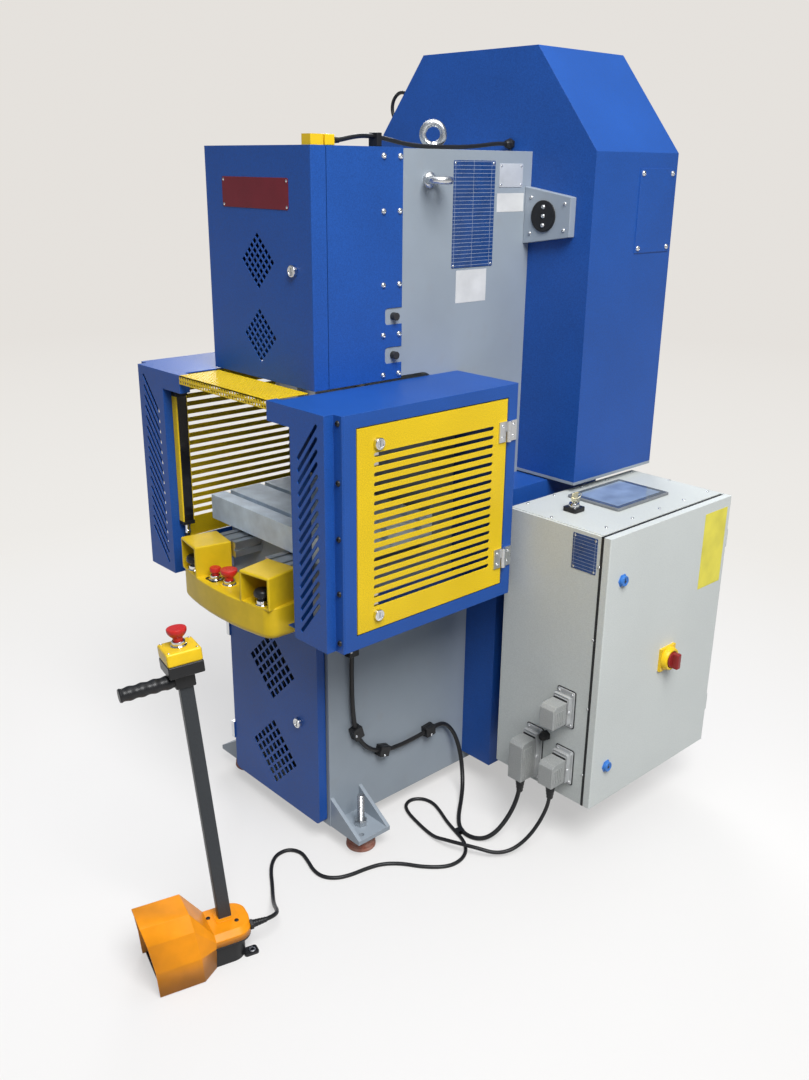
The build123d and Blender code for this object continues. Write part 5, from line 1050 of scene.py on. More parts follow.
class PRESS_OT_back_panels(bpy.types.Operator):
    """Screw on the belt guard's back cover and the motor enclosure's louvres"""

    bl_idname = "press.back_panels"
    bl_label = "Back panels"

    SCREW = (6.0, 3.6, 14)
    # the back cover: height of the guard's shoulder, half of its top, the rim that stays bare, thickness
    SHOULDER, TOP_HALF, RIM, SHEET = 1725.0, 201.0, 12.0, 2.0
    SCREW_EDGE, SCREW_FOOT, SCREW_PITCH, SCREW_ROWS = 12, 14, 148, 6
    SLAT = ((0, 0), (9, 3), (7, 8), (0, 24))
    SLAT_WIDE, SLAT_PITCH, SLATS = 190.0, 34.0, 7
    SLAT_GAP, SLAT_FOOT = 40, 500
    ENCLOSURE_HEIGHTS = (112, 300, 488, 676, 864)
    ENCLOSURE_HALF, SCREW_HALF, SCREW_INSET = 308, 288, 22

    def execute(self, context):
        self.guard_cover()
        self.louvres()
        return {"FINISHED"}

    def guard_cover(self):
        """A flat cover on the belt guard's back, screwed all round."""
        low, high = span("belt_guard")
        cover = Piece("guard_back_cover", "blue_paint")
        half, foot, top = high.x - self.RIM, low.z + self.RIM, high.z - self.RIM
        corners = [(half, foot), (half, self.SHOULDER - self.RIM / 2), (self.TOP_HALF - self.RIM / 2, top)]
        corners += [(-x, z) for x, z in reversed(corners)]
        back = place(0, high.y, 0, BACK)
        cover.join(prism(corners, self.SHEET, 0.8), back, blue_coat())
        low_row, top_row = foot + self.SCREW_FOOT, top - self.SCREW_FOOT
        rows = [low_row + self.SCREW_PITCH * step for step in range(self.SCREW_ROWS)]
        spots = [(half - self.SCREW_EDGE, z) for z in rows]
        spots += [(190, low_row), (64, low_row), (150, top_row), (290, self.SHOULDER + 92)]
        places = [at(back, side * x, z, self.SHEET) for x, z in spots for side in SIDES]
        cover.screw(places, *self.SCREW)
        cover.finish()

    def louvres(self):
        """Two banks of louvres for the motor's air, and the screws of the enclosure."""
        low, high = span("rear_enclosure")
        panel = Piece("enclosure_louvres", "blue_paint")
        for x in (-self.SLAT_GAP - self.SLAT_WIDE, self.SLAT_GAP):
            for step in range(self.SLATS):
                spot = place(x, high.y, self.SLAT_FOOT + self.SLAT_PITCH * step, RIGHT)
                panel.join(prism(self.SLAT, self.SLAT_WIDE, 1.2), spot, blue_coat())
        for z in self.ENCLOSURE_HEIGHTS:
            places = [place(side * self.SCREW_HALF, high.y, z, BACK) for side in SIDES]
            edges = (high.y - self.SCREW_INSET, low.y + self.SCREW_INSET)
            places += [place(-self.ENCLOSURE_HALF, y, z, LEFT) for y in edges]
            panel.screw(places, *self.SCREW)
        panel.finish()


class PRESS_OT_hinges(bpy.types.Operator):
    """Screw the hinge leaves to the doors and to what carries them"""

    bl_idname = "press.hinges"
    bl_label = "Hinge screws"

    # door, side it opens on, outer face of the leaves, heights
    HINGES = (
        ("right_guard_door", RIGHT, 411.0, (1094, 771)),
        ("left_guard_door", LEFT, 411.0, (1094, 771)),
        ("head_door", LEFT, 206.0, (1330, 1610)),
        ("lower_door", LEFT, 204.0, (180, 500)),
    )
    REACH, RISE = 19.0, 14

    def execute(self, context):
        fixed = Piece("hinge_screws", "bright_zinc")
        for door, out, face, heights in self.HINGES:
            moving = Piece(door + "_hinge_screws", "bright_zinc", door)
            rows = [height + side * self.RISE for height in heights for side in SIDES]
            for piece, way in ((moving, -1), (fixed, 1)):
                y = pivot(door).y + way * self.REACH
                piece.screw([place(out.x * face, y, z, out) for z in rows], 4.2, 1.6, 14)
            moving.finish()
        fixed.finish()
        return {"FINISHED"}


class PRESS_OT_eye_bolts(bpy.types.Operator):
    """Screw in the lifting eye bolts"""

    bl_idname = "press.eye_bolts"
    bl_label = "Eye bolts"

    COLLAR = ((0, 0), (19, 0), (19, 5), (17, 8), (13, 10.5), (10.4, 14), (9.4, 18), (0, 18))
    RING, WIRE, STAND = 25, 8.6, 35.0

    def execute(self, context):
        bolts = Piece("lifting_eyes", "bright_zinc")
        for seat in (place(100, 190, 1724, UP, math.radians(45)), place(CHEEK_X, 82, 1657, RIGHT)):
            bolts.join(turned(self.COLLAR, 32), seat, bright_zinc())
            upright = at(seat, z=self.STAND, turn=QUARTER, axis="X")
            bolts.join(ring(self.RING, self.WIRE), upright, bright_zinc())
        bolts.finish("eye_bolts")
        return {"FINISHED"}


class PRESS_OT_locks(bpy.types.Operator):
    """Dress the quarter-turn locks with rims and bezels"""

    bl_idname = "press.locks"
    bl_label = "Quarter-turn locks"

    FACING = {
        "head_door_lock": FRONT, "lower_door_lock": FRONT,
        "right_upper_latch": RIGHT, "right_lower_latch": RIGHT,
        "left_upper_latch": LEFT, "left_lower_latch": LEFT,
        "cabinet_upper_lock": RIGHT, "cabinet_lower_lock": RIGHT,
    }
    RIM = ((8.8, 8.2), (9.4, 9.3), (11, 9.6), (12.6, 9.0), (13.5, 7.4), (13.5, 1.0), (12.9, 0.5))
    BEZEL = ((13.9, 0.0), (13.9, 1.4), (15.2, 2.0), (16.8, 1.4), (17.4, 0.0))
    POINTER = ((-4, -2.4), (4, -2.4), (0, 4.6))
    POINTER_Z = 8.3

    def execute(self, context):
        for lock, out in self.FACING.items():
            seat = place(*pivot(lock), out)
            plastic = lock.startswith("cabinet")
            rim = Piece(lock + "_rim", "blue_plastic" if plastic else "bright_zinc", lock)
            rim.join(turned(self.RIM), seat, lock_plastic() if plastic else chrome())
            if plastic:
                rim.join(prism(self.POINTER, 1.4, 0.3), at(seat, z=self.POINTER_Z), black_plastic())
                bezel, carrier = turned(self.BEZEL, 6), JOINT_OF[lock]["parent"]
                single(lock + "_bezel", "blue_plastic", carrier, bezel, seat, lock_plastic())
            rim.finish()
        return {"FINISHED"}


class PRESS_OT_plates(bpy.types.Operator):
    """Rivet on the plates and stickers, all of them blank"""

    bl_idname = "press.plates"
    bl_label = "Plates"

    PLATE, STICKER = 1.0, 0.35
    RIVET_INSET = 6
    HEAD_DOOR_Y = -261

    def execute(self, context):
        plates = Piece("name_plates", "blue_paint")
        self.fix(plates, RIGHT, CHEEK_X, (162, 305), (1455, 1701), plate_enamel(), 3)
        self.fix(plates, RIGHT, CHEEK_X, (321, 406), (1640, 1695), etched_plate(), 3)
        self.fix(plates, RIGHT, CHEEK_X, (315, 414), (1582, 1626), white_vinyl())
        self.fix(plates, RIGHT, CHEEK_X, (179, 286), (1371, 1449), white_vinyl())
        self.fix(plates, FRONT, CABINET_Y, (575, 648), (777, 868), plate_enamel(), 2)
        plates.finish()
        badge = Piece("badge_plate", "red_plastic", "head_door")
        self.fix(badge, FRONT, self.HEAD_DOOR_Y, (-131, 123), (1594, 1660), red_enamel(), 6)
        badge.finish()
        card = Piece("blank_card", "yellow_plastic", "cabinet_door")
        self.fix(card, RIGHT, CABINET_DOOR_X, (629, 734), (640, 850), yellow_card())
        card.finish()
        return {"FINISHED"}

    def fix(self, piece, out, face, across, height, look, corner=0.0):
        """A plate between two pairs of coordinates of a face; one with round corners has rivets."""
        middle, centre = sum(across) / 2, sum(height) / 2
        spot = (face, middle, centre) if out is RIGHT else (middle, face, centre)
        wide, tall = across[1] - across[0], height[1] - height[0]
        seat = place(*spot, out)
        piece.join(plate(wide, tall, self.PLATE if corner else self.STICKER, corner), seat, look)
        if corner:
            x, y = wide / 2 - self.RIVET_INSET, tall / 2 - self.RIVET_INSET
            for hole in ((-x, -y), (-x, y), (x, -y), (x, y)):
                piece.join(rivet(sizes().rivet / MM), at(seat, *hole, self.PLATE), bright_zinc())


class PRESS_OT_encoder(bpy.types.Operator):
    """Build the bracket with its round black cap"""

    bl_idname = "press.encoder"
    bl_label = "Encoder bracket"

    OUTLINE = ((0, 1504), (148, 1526), (148, 1620), (0, 1642))
    THICK = 22
    SCREWS = ((22, 1530), (22, 1616), (130, 1542), (130, 1604))
    CAP = ((0, 2.5), (9, 2.5), (10, 3.2), (30, 3.2), (32, 4.6), (36, 5), (38, 4), (38, 0))
    # how far the cap's screws lie from its middle, and how high they sit
    CAP_SCREWS = ((-22, 3.2), (0, 2.5), (22, 3.2))

    def execute(self, context):
        bracket = Piece("encoder", "frame_paint")
        face = place(CHEEK_X, 440, 0, FRONT)
        bracket.join(prism(self.OUTLINE, self.THICK, 2.0), face, frame_paint())
        cap = place(265, 440 - self.THICK, 1573, FRONT)
        bracket.join(turned(self.CAP, 40), cap, black_plastic())
        bracket.screw([at(cap, 0, rise, z) for rise, z in self.CAP_SCREWS], 5.6, 4.0)
        bracket.screw([at(face, x, z, self.THICK) for x, z in self.SCREWS], 4.6, 3.2)
        bracket.finish("encoder_bracket")
        return {"FINISHED"}


class PRESS_OT_light_curtains(bpy.types.Operator):
    """Stand the light curtains on the wings' inner returns"""

    bl_idname = "press.light_curtains"
    bl_label = "Light curtains"

    WIDTH, DEPTH = 22.0, 33.0
    SETBACK = 18.0
    RIM, CAP = 3.0, 11.0
    # how far the post and its window stay inside the caps, and how far the window and the caps stand proud
    POST_SHORT, PANE_SHORT = 3, 2
    PANE_PROUD, PANE_THICK = 0.6, 2
    CAP_INNER, CAP_OUTER, CAP_DEEP = 0.8, 0.2, 0.6
    PLUG = ((0, 0), (8.5, 0), (8.5, 4), (7.4, 5), (7.4, 16), (8.2, 17), (8.2, 24), (0, 24))

    def execute(self, context):
        posts = Piece("curtain_posts", "yellow_paint")
        low, high = span("light_curtains")
        inner, outer = high.x - self.WIDTH, high.x
        front = low.y + self.SETBACK
        back = front + self.DEPTH
        for side in SIDES:
            across = sorted((side * inner, side * outer))
            tall = (low.z + self.POST_SHORT, high.z - self.POST_SHORT)
            posts.join(block(across, (front, back), tall, 2.4, 3), ORIGIN, yellow_coat())
            pane = sorted((side * (inner - self.PANE_PROUD), side * (inner + self.PANE_THICK)))
            deep = (front + self.RIM, back - self.RIM)
            tall = (low.z + self.PANE_SHORT, high.z - self.PANE_SHORT)
            posts.join(block(pane, deep, tall, 0.4), ORIGIN, lens_window())
            across = sorted((side * (inner - self.CAP_INNER), side * (outer + self.CAP_OUTER)))
            deep = (front - self.CAP_DEEP, back + self.CAP_DEEP)
            for tall in ((low.z, low.z + self.CAP), (high.z - self.CAP, high.z)):
                posts.join(block(across, deep, tall, 1.6), ORIGIN, black_plastic())
            plug = place(side * (inner + outer) / 2, (front + back) / 2, low.z, DOWN)
            posts.join(turned(self.PLUG), plug, chrome())
            posts.join(stepped_relief(7.0, 4.0, 26), at(plug, z=self.PLUG[-1][1]), black_plastic())
        posts.finish("light_curtains")
        return {"FINISHED"}


class PRESS_OT_grille(bpy.types.Operator):
    """Punch the yellow grille between the wings, and the two rows of slots in its front lip"""

    bl_idname = "press.grille"
    bl_label = "Top grille"

    COLUMNS, ROWS, LIP_ROWS = 34, 11, 2
    SHEET = 2.0
    # half of what stays between two holes, and the cut of their corners
    TOP_WEB, LIP_WEB = (1.9, 1.8), (2.1, 0.7)

    def execute(self, context):
        grille = Piece("punched_grille", "yellow_paint")
        low, high = span("top_grille")
        middle = (low + high) / 2
        wide, deep, tall = high - low
        top = self.punched(wide, deep, self.ROWS, *self.TOP_WEB)
        grille.join(top, place(middle.x, middle.y, high.z - self.SHEET), yellow_coat())
        lip = self.punched(wide, tall, self.LIP_ROWS, *self.LIP_WEB)
        grille.join(lip, place(middle.x, low.y + self.SHEET, middle.z, FRONT), yellow_coat())
        grille.finish("top_grille")
        return {"FINISHED"}

    def punched(self, wide, deep, rows, web, corner):
        """A thin sheet punched in columns and rows of holes with cut corners."""
        shape = sheet(wide, deep, self.COLUMNS, rows)
        holes = list(shape.faces)
        bmesh.ops.inset_individual(shape, faces=holes, thickness=web, use_even_offset=True)
        corners = list(dict.fromkeys(vert for hole in holes for vert in hole.verts))
        bevel(shape, corners, corner, 1, "VERTICES")
        holes = [face for face in shape.faces if len(face.verts) == 8]
        bmesh.ops.delete(shape, geom=holes, context="FACES")
        return thicken(shape, self.SHEET)


# Buttons, over a deck at height 0
PALM_CAP = (
    (0, 8.8), (10.6, 8.8), (10.6, 18), (12.5, 20.4), (17.8, 21), (20, 23.5), (20, 31), (18.6, 35.2),
    (15.4, 38.1), (10, 39.6), (0, 40),
)
EMERGENCY_CAP = (
    (0, 8.8), (10.6, 8.8), (10.6, 18.6), (12.2, 20.8), (15.2, 23.2), (18.6, 27.4), (20.8, 32), (21.2, 34.6),
    (21.2, 38), (20.2, 39.6), (16.4, 40.2), (0, 39.6),
)
STOP_CAP = ((0, 7), (9, 7), (9, 19), (13.2, 20.2), (14, 21.6), (14, 29.4), (12.6, 31.4), (0, 32))
BUTTON_RING = (
    (11.5, 0.2), (17.2, 0.2), (17.6, 1.6), (16.4, 3.2), (14.6, 3.6), (14.6, 10.4), (14.0, 11.8), (12.2, 12),
    (11.5, 11),
)


class PRESS_OT_desk(bpy.types.Operator):
    """Mould the two-hand desk with its hoods and buttons"""

    bl_idname = "press.desk"
    bl_label = "Two-hand desk"

    DECK, BOTTOM = 714.0, 632.0
    HALF = 192.0
    FACE_Y, BACK_Y = -420.0, -312.0
    BOW = 24.0
    BOW_STEPS = 8
    # rounding and its segments
    CORNER, UNDERSIDE, BRIM = (26, 6), (18, 5), (3, 3)
    HOOD_INNER, HOOD_TOP = 95.0, 793.0
    HOOD_DEEP, HOLLOW, LIP, HOOD_SUNK = 98, 90, 2.2, 5
    SPLAY = math.radians(10.6)
    # button, cap, slot, the cap's profile and segments, place on the deck
    BUTTONS = (
        ("palm_button_left", "palm_button_left_cap", "black_plastic", PALM_CAP, 40, (-148.0, -386.0)),
        ("palm_button_right", "palm_button_right_cap", "black_plastic", PALM_CAP, 40, (148.0, -386.0)),
        ("desk_emergency_stop", "desk_emergency_cap", "red_plastic", EMERGENCY_CAP, 40, (-6.0, -376.0)),
        ("desk_stop_button", "desk_stop_cap", "red_plastic", STOP_CAP, 36, (-58.0, -382.0)),
    )
    YELLOW_RING = ((17.5, 0.1), (23.5, 0.1), (23.5, 1.2), (17.5, 1.2))

    def execute(self, context):
        desk = Piece("desk_moulding", "yellow_paint")
        desk.join(self.body(), place(0, 0, self.BOTTOM), desk_moulding())
        for side in SIDES:
            desk.join(self.hood(side), ORIGIN, desk_moulding())
        desk.finish("control_desk")
        self.buttons()
        return {"FINISHED"}

    def front(self, x):
        """How far forward the bowed front reaches."""
        return self.FACE_Y + self.BOW * (x / self.HALF) ** 2

    def body(self):
        """The tray of the desk: a bowed front, round front corners and a round bottom edge."""
        steps = self.BOW_STEPS
        across = [self.HALF * (2 * step / steps - 1) for step in range(steps + 1)]
        back = [(self.HALF, self.BACK_Y), (-self.HALF, self.BACK_Y)]
        shape = outline([(x, self.front(x)) for x in across] + back)
        shape.verts.ensure_lookup_table()
        bevel(shape, [shape.verts[0], shape.verts[steps]], *self.CORNER, "VERTICES")
        tall = self.DECK - self.BOTTOM
        thicken(shape, tall)
        bevel(shape, [e for e in shape.edges if max(v.co.z for v in e.verts) < 1], *self.UNDERSIDE)
        return bevel(shape, [e for e in shape.edges if min(v.co.z for v in e.verts) > tall - 1], *self.BRIM)

    def hood(self, side):
        """A hood that is open to the operator, with a lip round its mouth."""
        half = (self.HALF - self.HOOD_INNER) / 2
        middle = self.HALF - half
        shape = block((-half, half), (0, self.HOOD_DEEP), (self.DECK - self.HOOD_SUNK, self.HOOD_TOP), 4.0, 3)
        mouth = min(shape.faces, key=lambda face: (round(face.calc_center_median().y, 2), -face.calc_area()))
        bmesh.ops.inset_region(shape, faces=[mouth], thickness=self.LIP, use_even_offset=True)
        made = bmesh.ops.extrude_discrete_faces(shape, faces=[mouth])
        bmesh.ops.translate(shape, vec=(0, self.HOLLOW, 0), verts=list(made["faces"][0].verts))
        seat = Matrix.Translation((side * middle, self.front(middle) + 1, 0))
        splayed = seat @ Matrix.Rotation(side * self.SPLAY, 4, "Z")
        bmesh.ops.transform(shape, matrix=splayed, verts=shape.verts)
        return shape

    def buttons(self):
        """Palm buttons under the hoods, and the two red buttons between them, each in a chrome ring."""
        rings = Piece("button_rings", "bright_zinc")
        for button, cap, slot, profile, segments, spot in self.BUTTONS:
            seat = place(*spot, self.DECK)
            single(cap, slot, button, turned(profile, segments), seat, SLOT_FINISH[slot](), button)
            rings.join(turned(BUTTON_RING, 36), seat, chrome())
            if button == "desk_emergency_stop":
                rings.join(turned(self.YELLOW_RING, 36), seat, signal_plastic())
            if button == "desk_stop_button":
                rings.join(plate(40, 40, 1.6, 6), seat, black_plastic())
        rings.finish("button_collars")


# Control cabinet


class PRESS_OT_cabinet(bpy.types.Operator):
    """Fit out the cabinet: operator panel, key switch, isolator and lid screws"""

    bl_idname = "press.cabinet"
    bl_label = "Cabinet fittings"

    KEY = (495.0, 323.0, LID_TOP)
    KEY_STEM = ((0, 12.6), (3.8, 12.6), (3.8, 23), (0, 23))
    KEY_BARREL = ((4.6, 12), (14, 12), (14, 18), (12.6, 21.4), (10, 22), (4.6, 22))
    SCREEN = (493.0, 511.5, LID_TOP)
    SCREEN_WIDE, SCREEN_DEEP, BEZEL, GLASS = 164.0, 223.0, 7.0, 0.5
    KNOB = ((0, 0), (7.8, 0), (7.8, 8.6), (22, 8.6), (22, 20), (20.6, 25), (17, 26.4), (0, 26.4))
    KNOB_BAR = ((-8.2, 8.2), (-21.5, 21.5), (20, 44))
    KNOB_BODY = ((23.4, 8), (32.5, 8), (32.5, 12), (30, 20), (27.5, 22.6), (23.4, 22.6), (23.4, 8))
    # painted shade: a black strip laid where the gap between the shell and its door is in shadow
    SEAL_X = (657.5, 664.4)
    SEAL_TOP, SEAL_PROUD, SEAL_DEEP, SEAL_END = 877, 0.5, 6.0, 24
    LID_ROWS = (281, 386, 502, 611, 724)
    LID_COLUMNS = (380, 627)
    LID_ENDS = ((492, 240), (499, 736))
    SHELL_X, SHELL_HEIGHTS = 656, (230, 420, 610, 800)

    def execute(self, context):
        self.panel()
        self.key()
        self.isolator()
        self.seal()
        self.screws()
        return {"FINISHED"}

    def panel(self):
        """The dark screen in its frame, and the key switch's block beside it."""
        panel = Piece("screen_and_key_block", "black_plastic")
        wide, deep = self.SCREEN_WIDE, self.SCREEN_DEEP
        spot, key = place(*self.SCREEN), place(*self.KEY)
        panel.join(plate(wide, deep, self.BEZEL, 7, 1.8), spot, bezel_plastic())
        panel.join(plate(wide - 10, deep - 10, self.GLASS, 4), at(spot, z=self.BEZEL), border_glass())
        above = at(spot, z=self.BEZEL + self.GLASS)
        panel.join(plate(wide - 34, deep - 38, self.GLASS, 2), above, screen_glass())
        panel.join(plate(40, 40, 12, 4, 1.6), key, black_plastic())
        panel.join(turned(self.KEY_BARREL, 32), key, chrome())
        panel.finish("operator_panel")

    def key(self):
        """The key, with a ring that carries a second one."""
        keys = Piece("key_bunch", "machined_steel", "switch_key")
        spot, brass = place(*self.KEY), key_brass()
        keys.join(turned(self.KEY_STEM, 16), spot, brass)
        bow = at(at(spot, z=35.6, turn=QUARTER, axis="Y"), z=-1.3)
        keys.join(plate(27, 27, 2.6, 10, 0.6), bow, brass)
        keys.join(ring(12, 1.1, 28, 8), at(spot, 0, 6.5, 39, 0.5, "X"), brass)
        spare = at(at(spot, -4, 16.5, 28, -1.0, "X"), turn=1.2, axis="Y")
        keys.join(plate(11, 27, 2.2, 4.5, 0.5), spare, brass)
        keys.finish("switch_key")

    def isolator(self):
        """The red knob of the main isolator in its thick yellow body."""
        seat = place(*pivot("isolator_knob"), RIGHT)
        knob = Piece("isolator_handle", "red_plastic", "isolator_knob")
        # the knob and its bar take the darker red of painted shade
        knob.join(turned(self.KNOB, 40), seat, knob_plastic())
        knob.join(block(*self.KNOB_BAR, 4.0, 4), seat, knob_plastic())
        knob.finish("isolator_knob")
        body = turned(self.KNOB_BODY, 36)
        single("isolator_collar", "yellow_plastic", "cabinet_door", body, seat, signal_plastic())

    def seal(self):
        """Painted shade: a black rubber strip between the shell and its door, standing for the shadowed edge
        of the shell behind the door.
        """
        low, high = span("cabinet_shell")
        seal = Piece("door_seal", "belt_rubber")
        foot, top = low.z - self.SEAL_PROUD, self.SEAL_TOP + self.SEAL_PROUD
        front = (low.y - self.SEAL_PROUD, low.y + self.SEAL_DEEP)
        along = (low.y, high.y - self.SEAL_END)
        for y, z in (
            (front, (foot, top)),
            (along, (foot, low.z + self.SEAL_DEEP)),
            (along, (self.SEAL_TOP - self.SEAL_DEEP, top)),
        ):
            seal.join(block(self.SEAL_X, y, z, 0.4), ORIGIN, belt_rubber())
        seal.finish()

    def screws(self):
        """Small screws round the lid and down the shell's edge."""
        screws = Piece("cabinet_screws", "bright_zinc")
        lid = [(x, y) for y in self.LID_ROWS for x in self.LID_COLUMNS]
        screws.screw([place(*spot, LID_TOP) for spot in (*lid, *self.LID_ENDS)], 4.2, 2.6, 14)
        shell = [place(self.SHELL_X, CABINET_Y, z, FRONT) for z in self.SHELL_HEIGHTS]
        screws.screw(shell, 3.4, 2.2, 12)
        screws.finish()


class PRESS_OT_connectors(bpy.types.Operator):
    """Mount the heavy cable connectors and the spare gland"""

    bl_idname = "press.connectors"
    bl_label = "Cable connectors"

    ENTRY_Y = 172.0
    # centre x and z, width and height of the base, height of the hood
    CONNECTORS = ((497, 229, 49, 150, 112), (590, 399, 52, 100, 62), (598, 235, 52, 96, 66))
    ENTRY_DOME = ((0, 5), (9.4, 5), (9.4, 8), (8.4, 10), (0, 10))
    RELIEFS = ((497, 163), (598, 192))
    BLANK = ((0, 0), (8.4, 0), (8.0, 3), (5, 4.5), (0, 5))
    SPARE_DOME = ((0, 7), (12, 7), (12, 14), (10.5, 20), (7, 23.5), (0, 24))
    FLANGE = 4.5
    HOOD_HALF, HOOD_Z, NOSE = 22.5, (26, 78), 9
    RIB_HALF, RIBS, RIB_FOOT, RIB_PITCH, RIB = 24.6, 5, 40, 7, 2.4
    PIVOT = ((0, 3), (4.6, 2.6), (5.6, 1.4), (5.6, 0))

    def execute(self, context):
        fittings = Piece("connector_set", "arm_aluminium")
        black = black_plastic()
        for x, z, width, height, hood in self.CONNECTORS:
            self.connector(fittings, place(x, CABINET_Y, z, FRONT), width, height, hood)
            fittings.gland(place(x, self.ENTRY_Y, z - hood / 2, DOWN), 19, 5, self.ENTRY_DOME)
        for x, z in self.RELIEFS:
            fittings.join(stepped_relief(12.4, 7.6, 36), place(x, self.ENTRY_Y, z, DOWN), black)
        fittings.join(turned(self.BLANK, 20), place(590, self.ENTRY_Y, 358, DOWN), black)
        fittings.gland(place(534, CABINET_Y, 294, FRONT), 25, 8, self.SPARE_DOME, 28)
        fittings.finish("cable_connectors")
        return {"FINISHED"}

    def connector(self, piece, seat, width, height, hood):
        """A gasket, a flange with screws, a housing, a hood with a sloping head, and its locking lever."""
        casting, zinc, black = hood_casting(), flange_zinc(), black_plastic()
        wide, tall, half = width / 2, height / 2, hood / 2
        piece.join(plate(width + 8, height + 6, 1.8, 6), seat, black)
        piece.join(plate(width + 3, height + 1, self.FLANGE, 5, 0.8), seat, zinc)
        corners = [(a * (wide - 5), b * (tall - 7)) for a in SIDES for b in SIDES]
        piece.screw([at(seat, *corner, self.FLANGE) for corner in corners], 3.6, 2.6, 12, zinc)
        piece.join(block((4 - wide, wide - 4), (-half - 5, half + 5), (4, 24), 2.0), seat, zinc)
        piece.join(block((5 - wide, wide - 5), (-half - 3, half + 3), (22, 28), 1.0), seat, black)
        cover = box((-self.HOOD_HALF, self.HOOD_HALF), (-half, half), self.HOOD_Z)
        nose = [e for e in cover.edges if all(v.co.z > 70 and v.co.y > 0 for v in e.verts)]
        piece.join(round_edges(bevel(cover, nose, self.NOSE, 1), 1.6), seat, casting)
        for step in range(self.RIBS):
            low = self.RIB_FOOT + self.RIB_PITCH * step
            rib = block((-self.RIB_HALF, self.RIB_HALF), (8 - half, half - 16), (low, low + self.RIB), 0.5)
            piece.join(rib, seat, casting)
        for side in SIDES:
            across = sorted((side * (wide - 3.4), side * (wide - 1.4)))
            piece.join(block(across, (-half - 2, half + 9), (9, 23), 0.7), seat, zinc)
            outward = at(seat, side * (wide - 1.6), 0, 17.5, side * QUARTER, "Y")
            piece.join(turned(self.PIVOT, 16), outward, zinc)
        piece.join(block((2 - wide, wide - 2), (half + 7, half + 11), (13, 22), 1.4), seat, zinc)


# Feet and foot switch


class PRESS_OT_feet(bpy.types.Operator):
    """Stand the frame on its levelling feet"""

    bl_idname = "press.feet"
    bl_label = "Levelling feet"

    SPOTS = ((258, -179), (-258, -179), (146, 498), (-146, 498))
    PAD_RADIUS, PAD_HEIGHT = 39.0, 30.0
    DISC = ((0, 30), (33, 30), (33, 32.5), (31, 34), (0, 34))
    SCREW_RADIUS, SCREW_FOOT, SCREW_TOP = 10.0, 34.0, 152.0
    THREAD_SHARE = 0.6
    NUTS = (34, 62)

    def execute(self, context):
        pads = Piece("levelling_pads", "belt_rubber")
        screws = Piece("levelling_screws", "machined_steel")
        for x, y in self.SPOTS:
            spot = place(x, y, 0)
            pads.join(self.pad(), spot, pad_rubber())
            screws.join(turned(self.DISC, 36), spot, bright_zinc())
            screws.join(self.thread(), spot, bright_zinc())
            for bottom in self.NUTS:
                screws.join(hexagon(30, 16, 1.6), at(spot, z=bottom, turn=0.3 * bottom), bright_zinc())
        pads.finish("levelling_feet")
        screws.finish()
        return {"FINISHED"}

    def pad(self):
        """A rubber pad with ribs round it."""
        ribs = sizes().pad_ribs
        step = self.PAD_HEIGHT / ribs
        profile = [(0, 0), (self.PAD_RADIUS - 3, 0)]
        for rib in range(ribs):
            radius = self.PAD_RADIUS - rib
            for inset, share in ((1.2, 0.1), (0, 0.3), (0, 0.7), (1.6, 0.92)):
                profile.append((radius - inset, (rib + share) * step))
        return turned(profile + [(self.PAD_RADIUS - 8, self.PAD_HEIGHT), (0, self.PAD_HEIGHT)], 40)

    def thread(self):
        """A screw with its threads drawn as rings."""
        pitch = sizes().thread_pitch / MM * self.THREAD_SHARE
        height = self.SCREW_FOOT
        profile = [(0, height)]
        while height < self.SCREW_TOP - 3:
            profile += [(self.SCREW_RADIUS - 1.3, height), (self.SCREW_RADIUS, height + pitch / 2)]
            height += pitch
        return turned(profile + [(self.SCREW_RADIUS - 2.5, self.SCREW_TOP), (0, self.SCREW_TOP)], 20)


FOOT_SWITCH = (306.0, -831.0)
FOOT_TURN = math.radians(-14.5)
POLE_FOOT = (-9.0, 178.0, 88.0)
POLE_LEAN = Vector((-58.0, -28.0, 610.0))
POLE_TOP = 610.0
BOX_TOP = 666.0


def foot_place():
    """Where the foot switch stands: its own frame starts at the mouth's centre and runs to the back."""
    return place(*FOOT_SWITCH, 0, UP, FOOT_TURN)


def pole_place():
    """The leaning pole's own frame, from its foot along its length."""
    switch = foot_place()
    along = POLE_LEAN.normalized()
    across = switch.to_3x3() @ RIGHT
    across = (across - along * across.dot(along)).normalized()
    matrix = Matrix((across, along.cross(across), along)).transposed().to_4x4()
    matrix.translation = switch @ Vector(POLE_FOOT)
    return matrix @ Matrix.Scale(MM, 4)


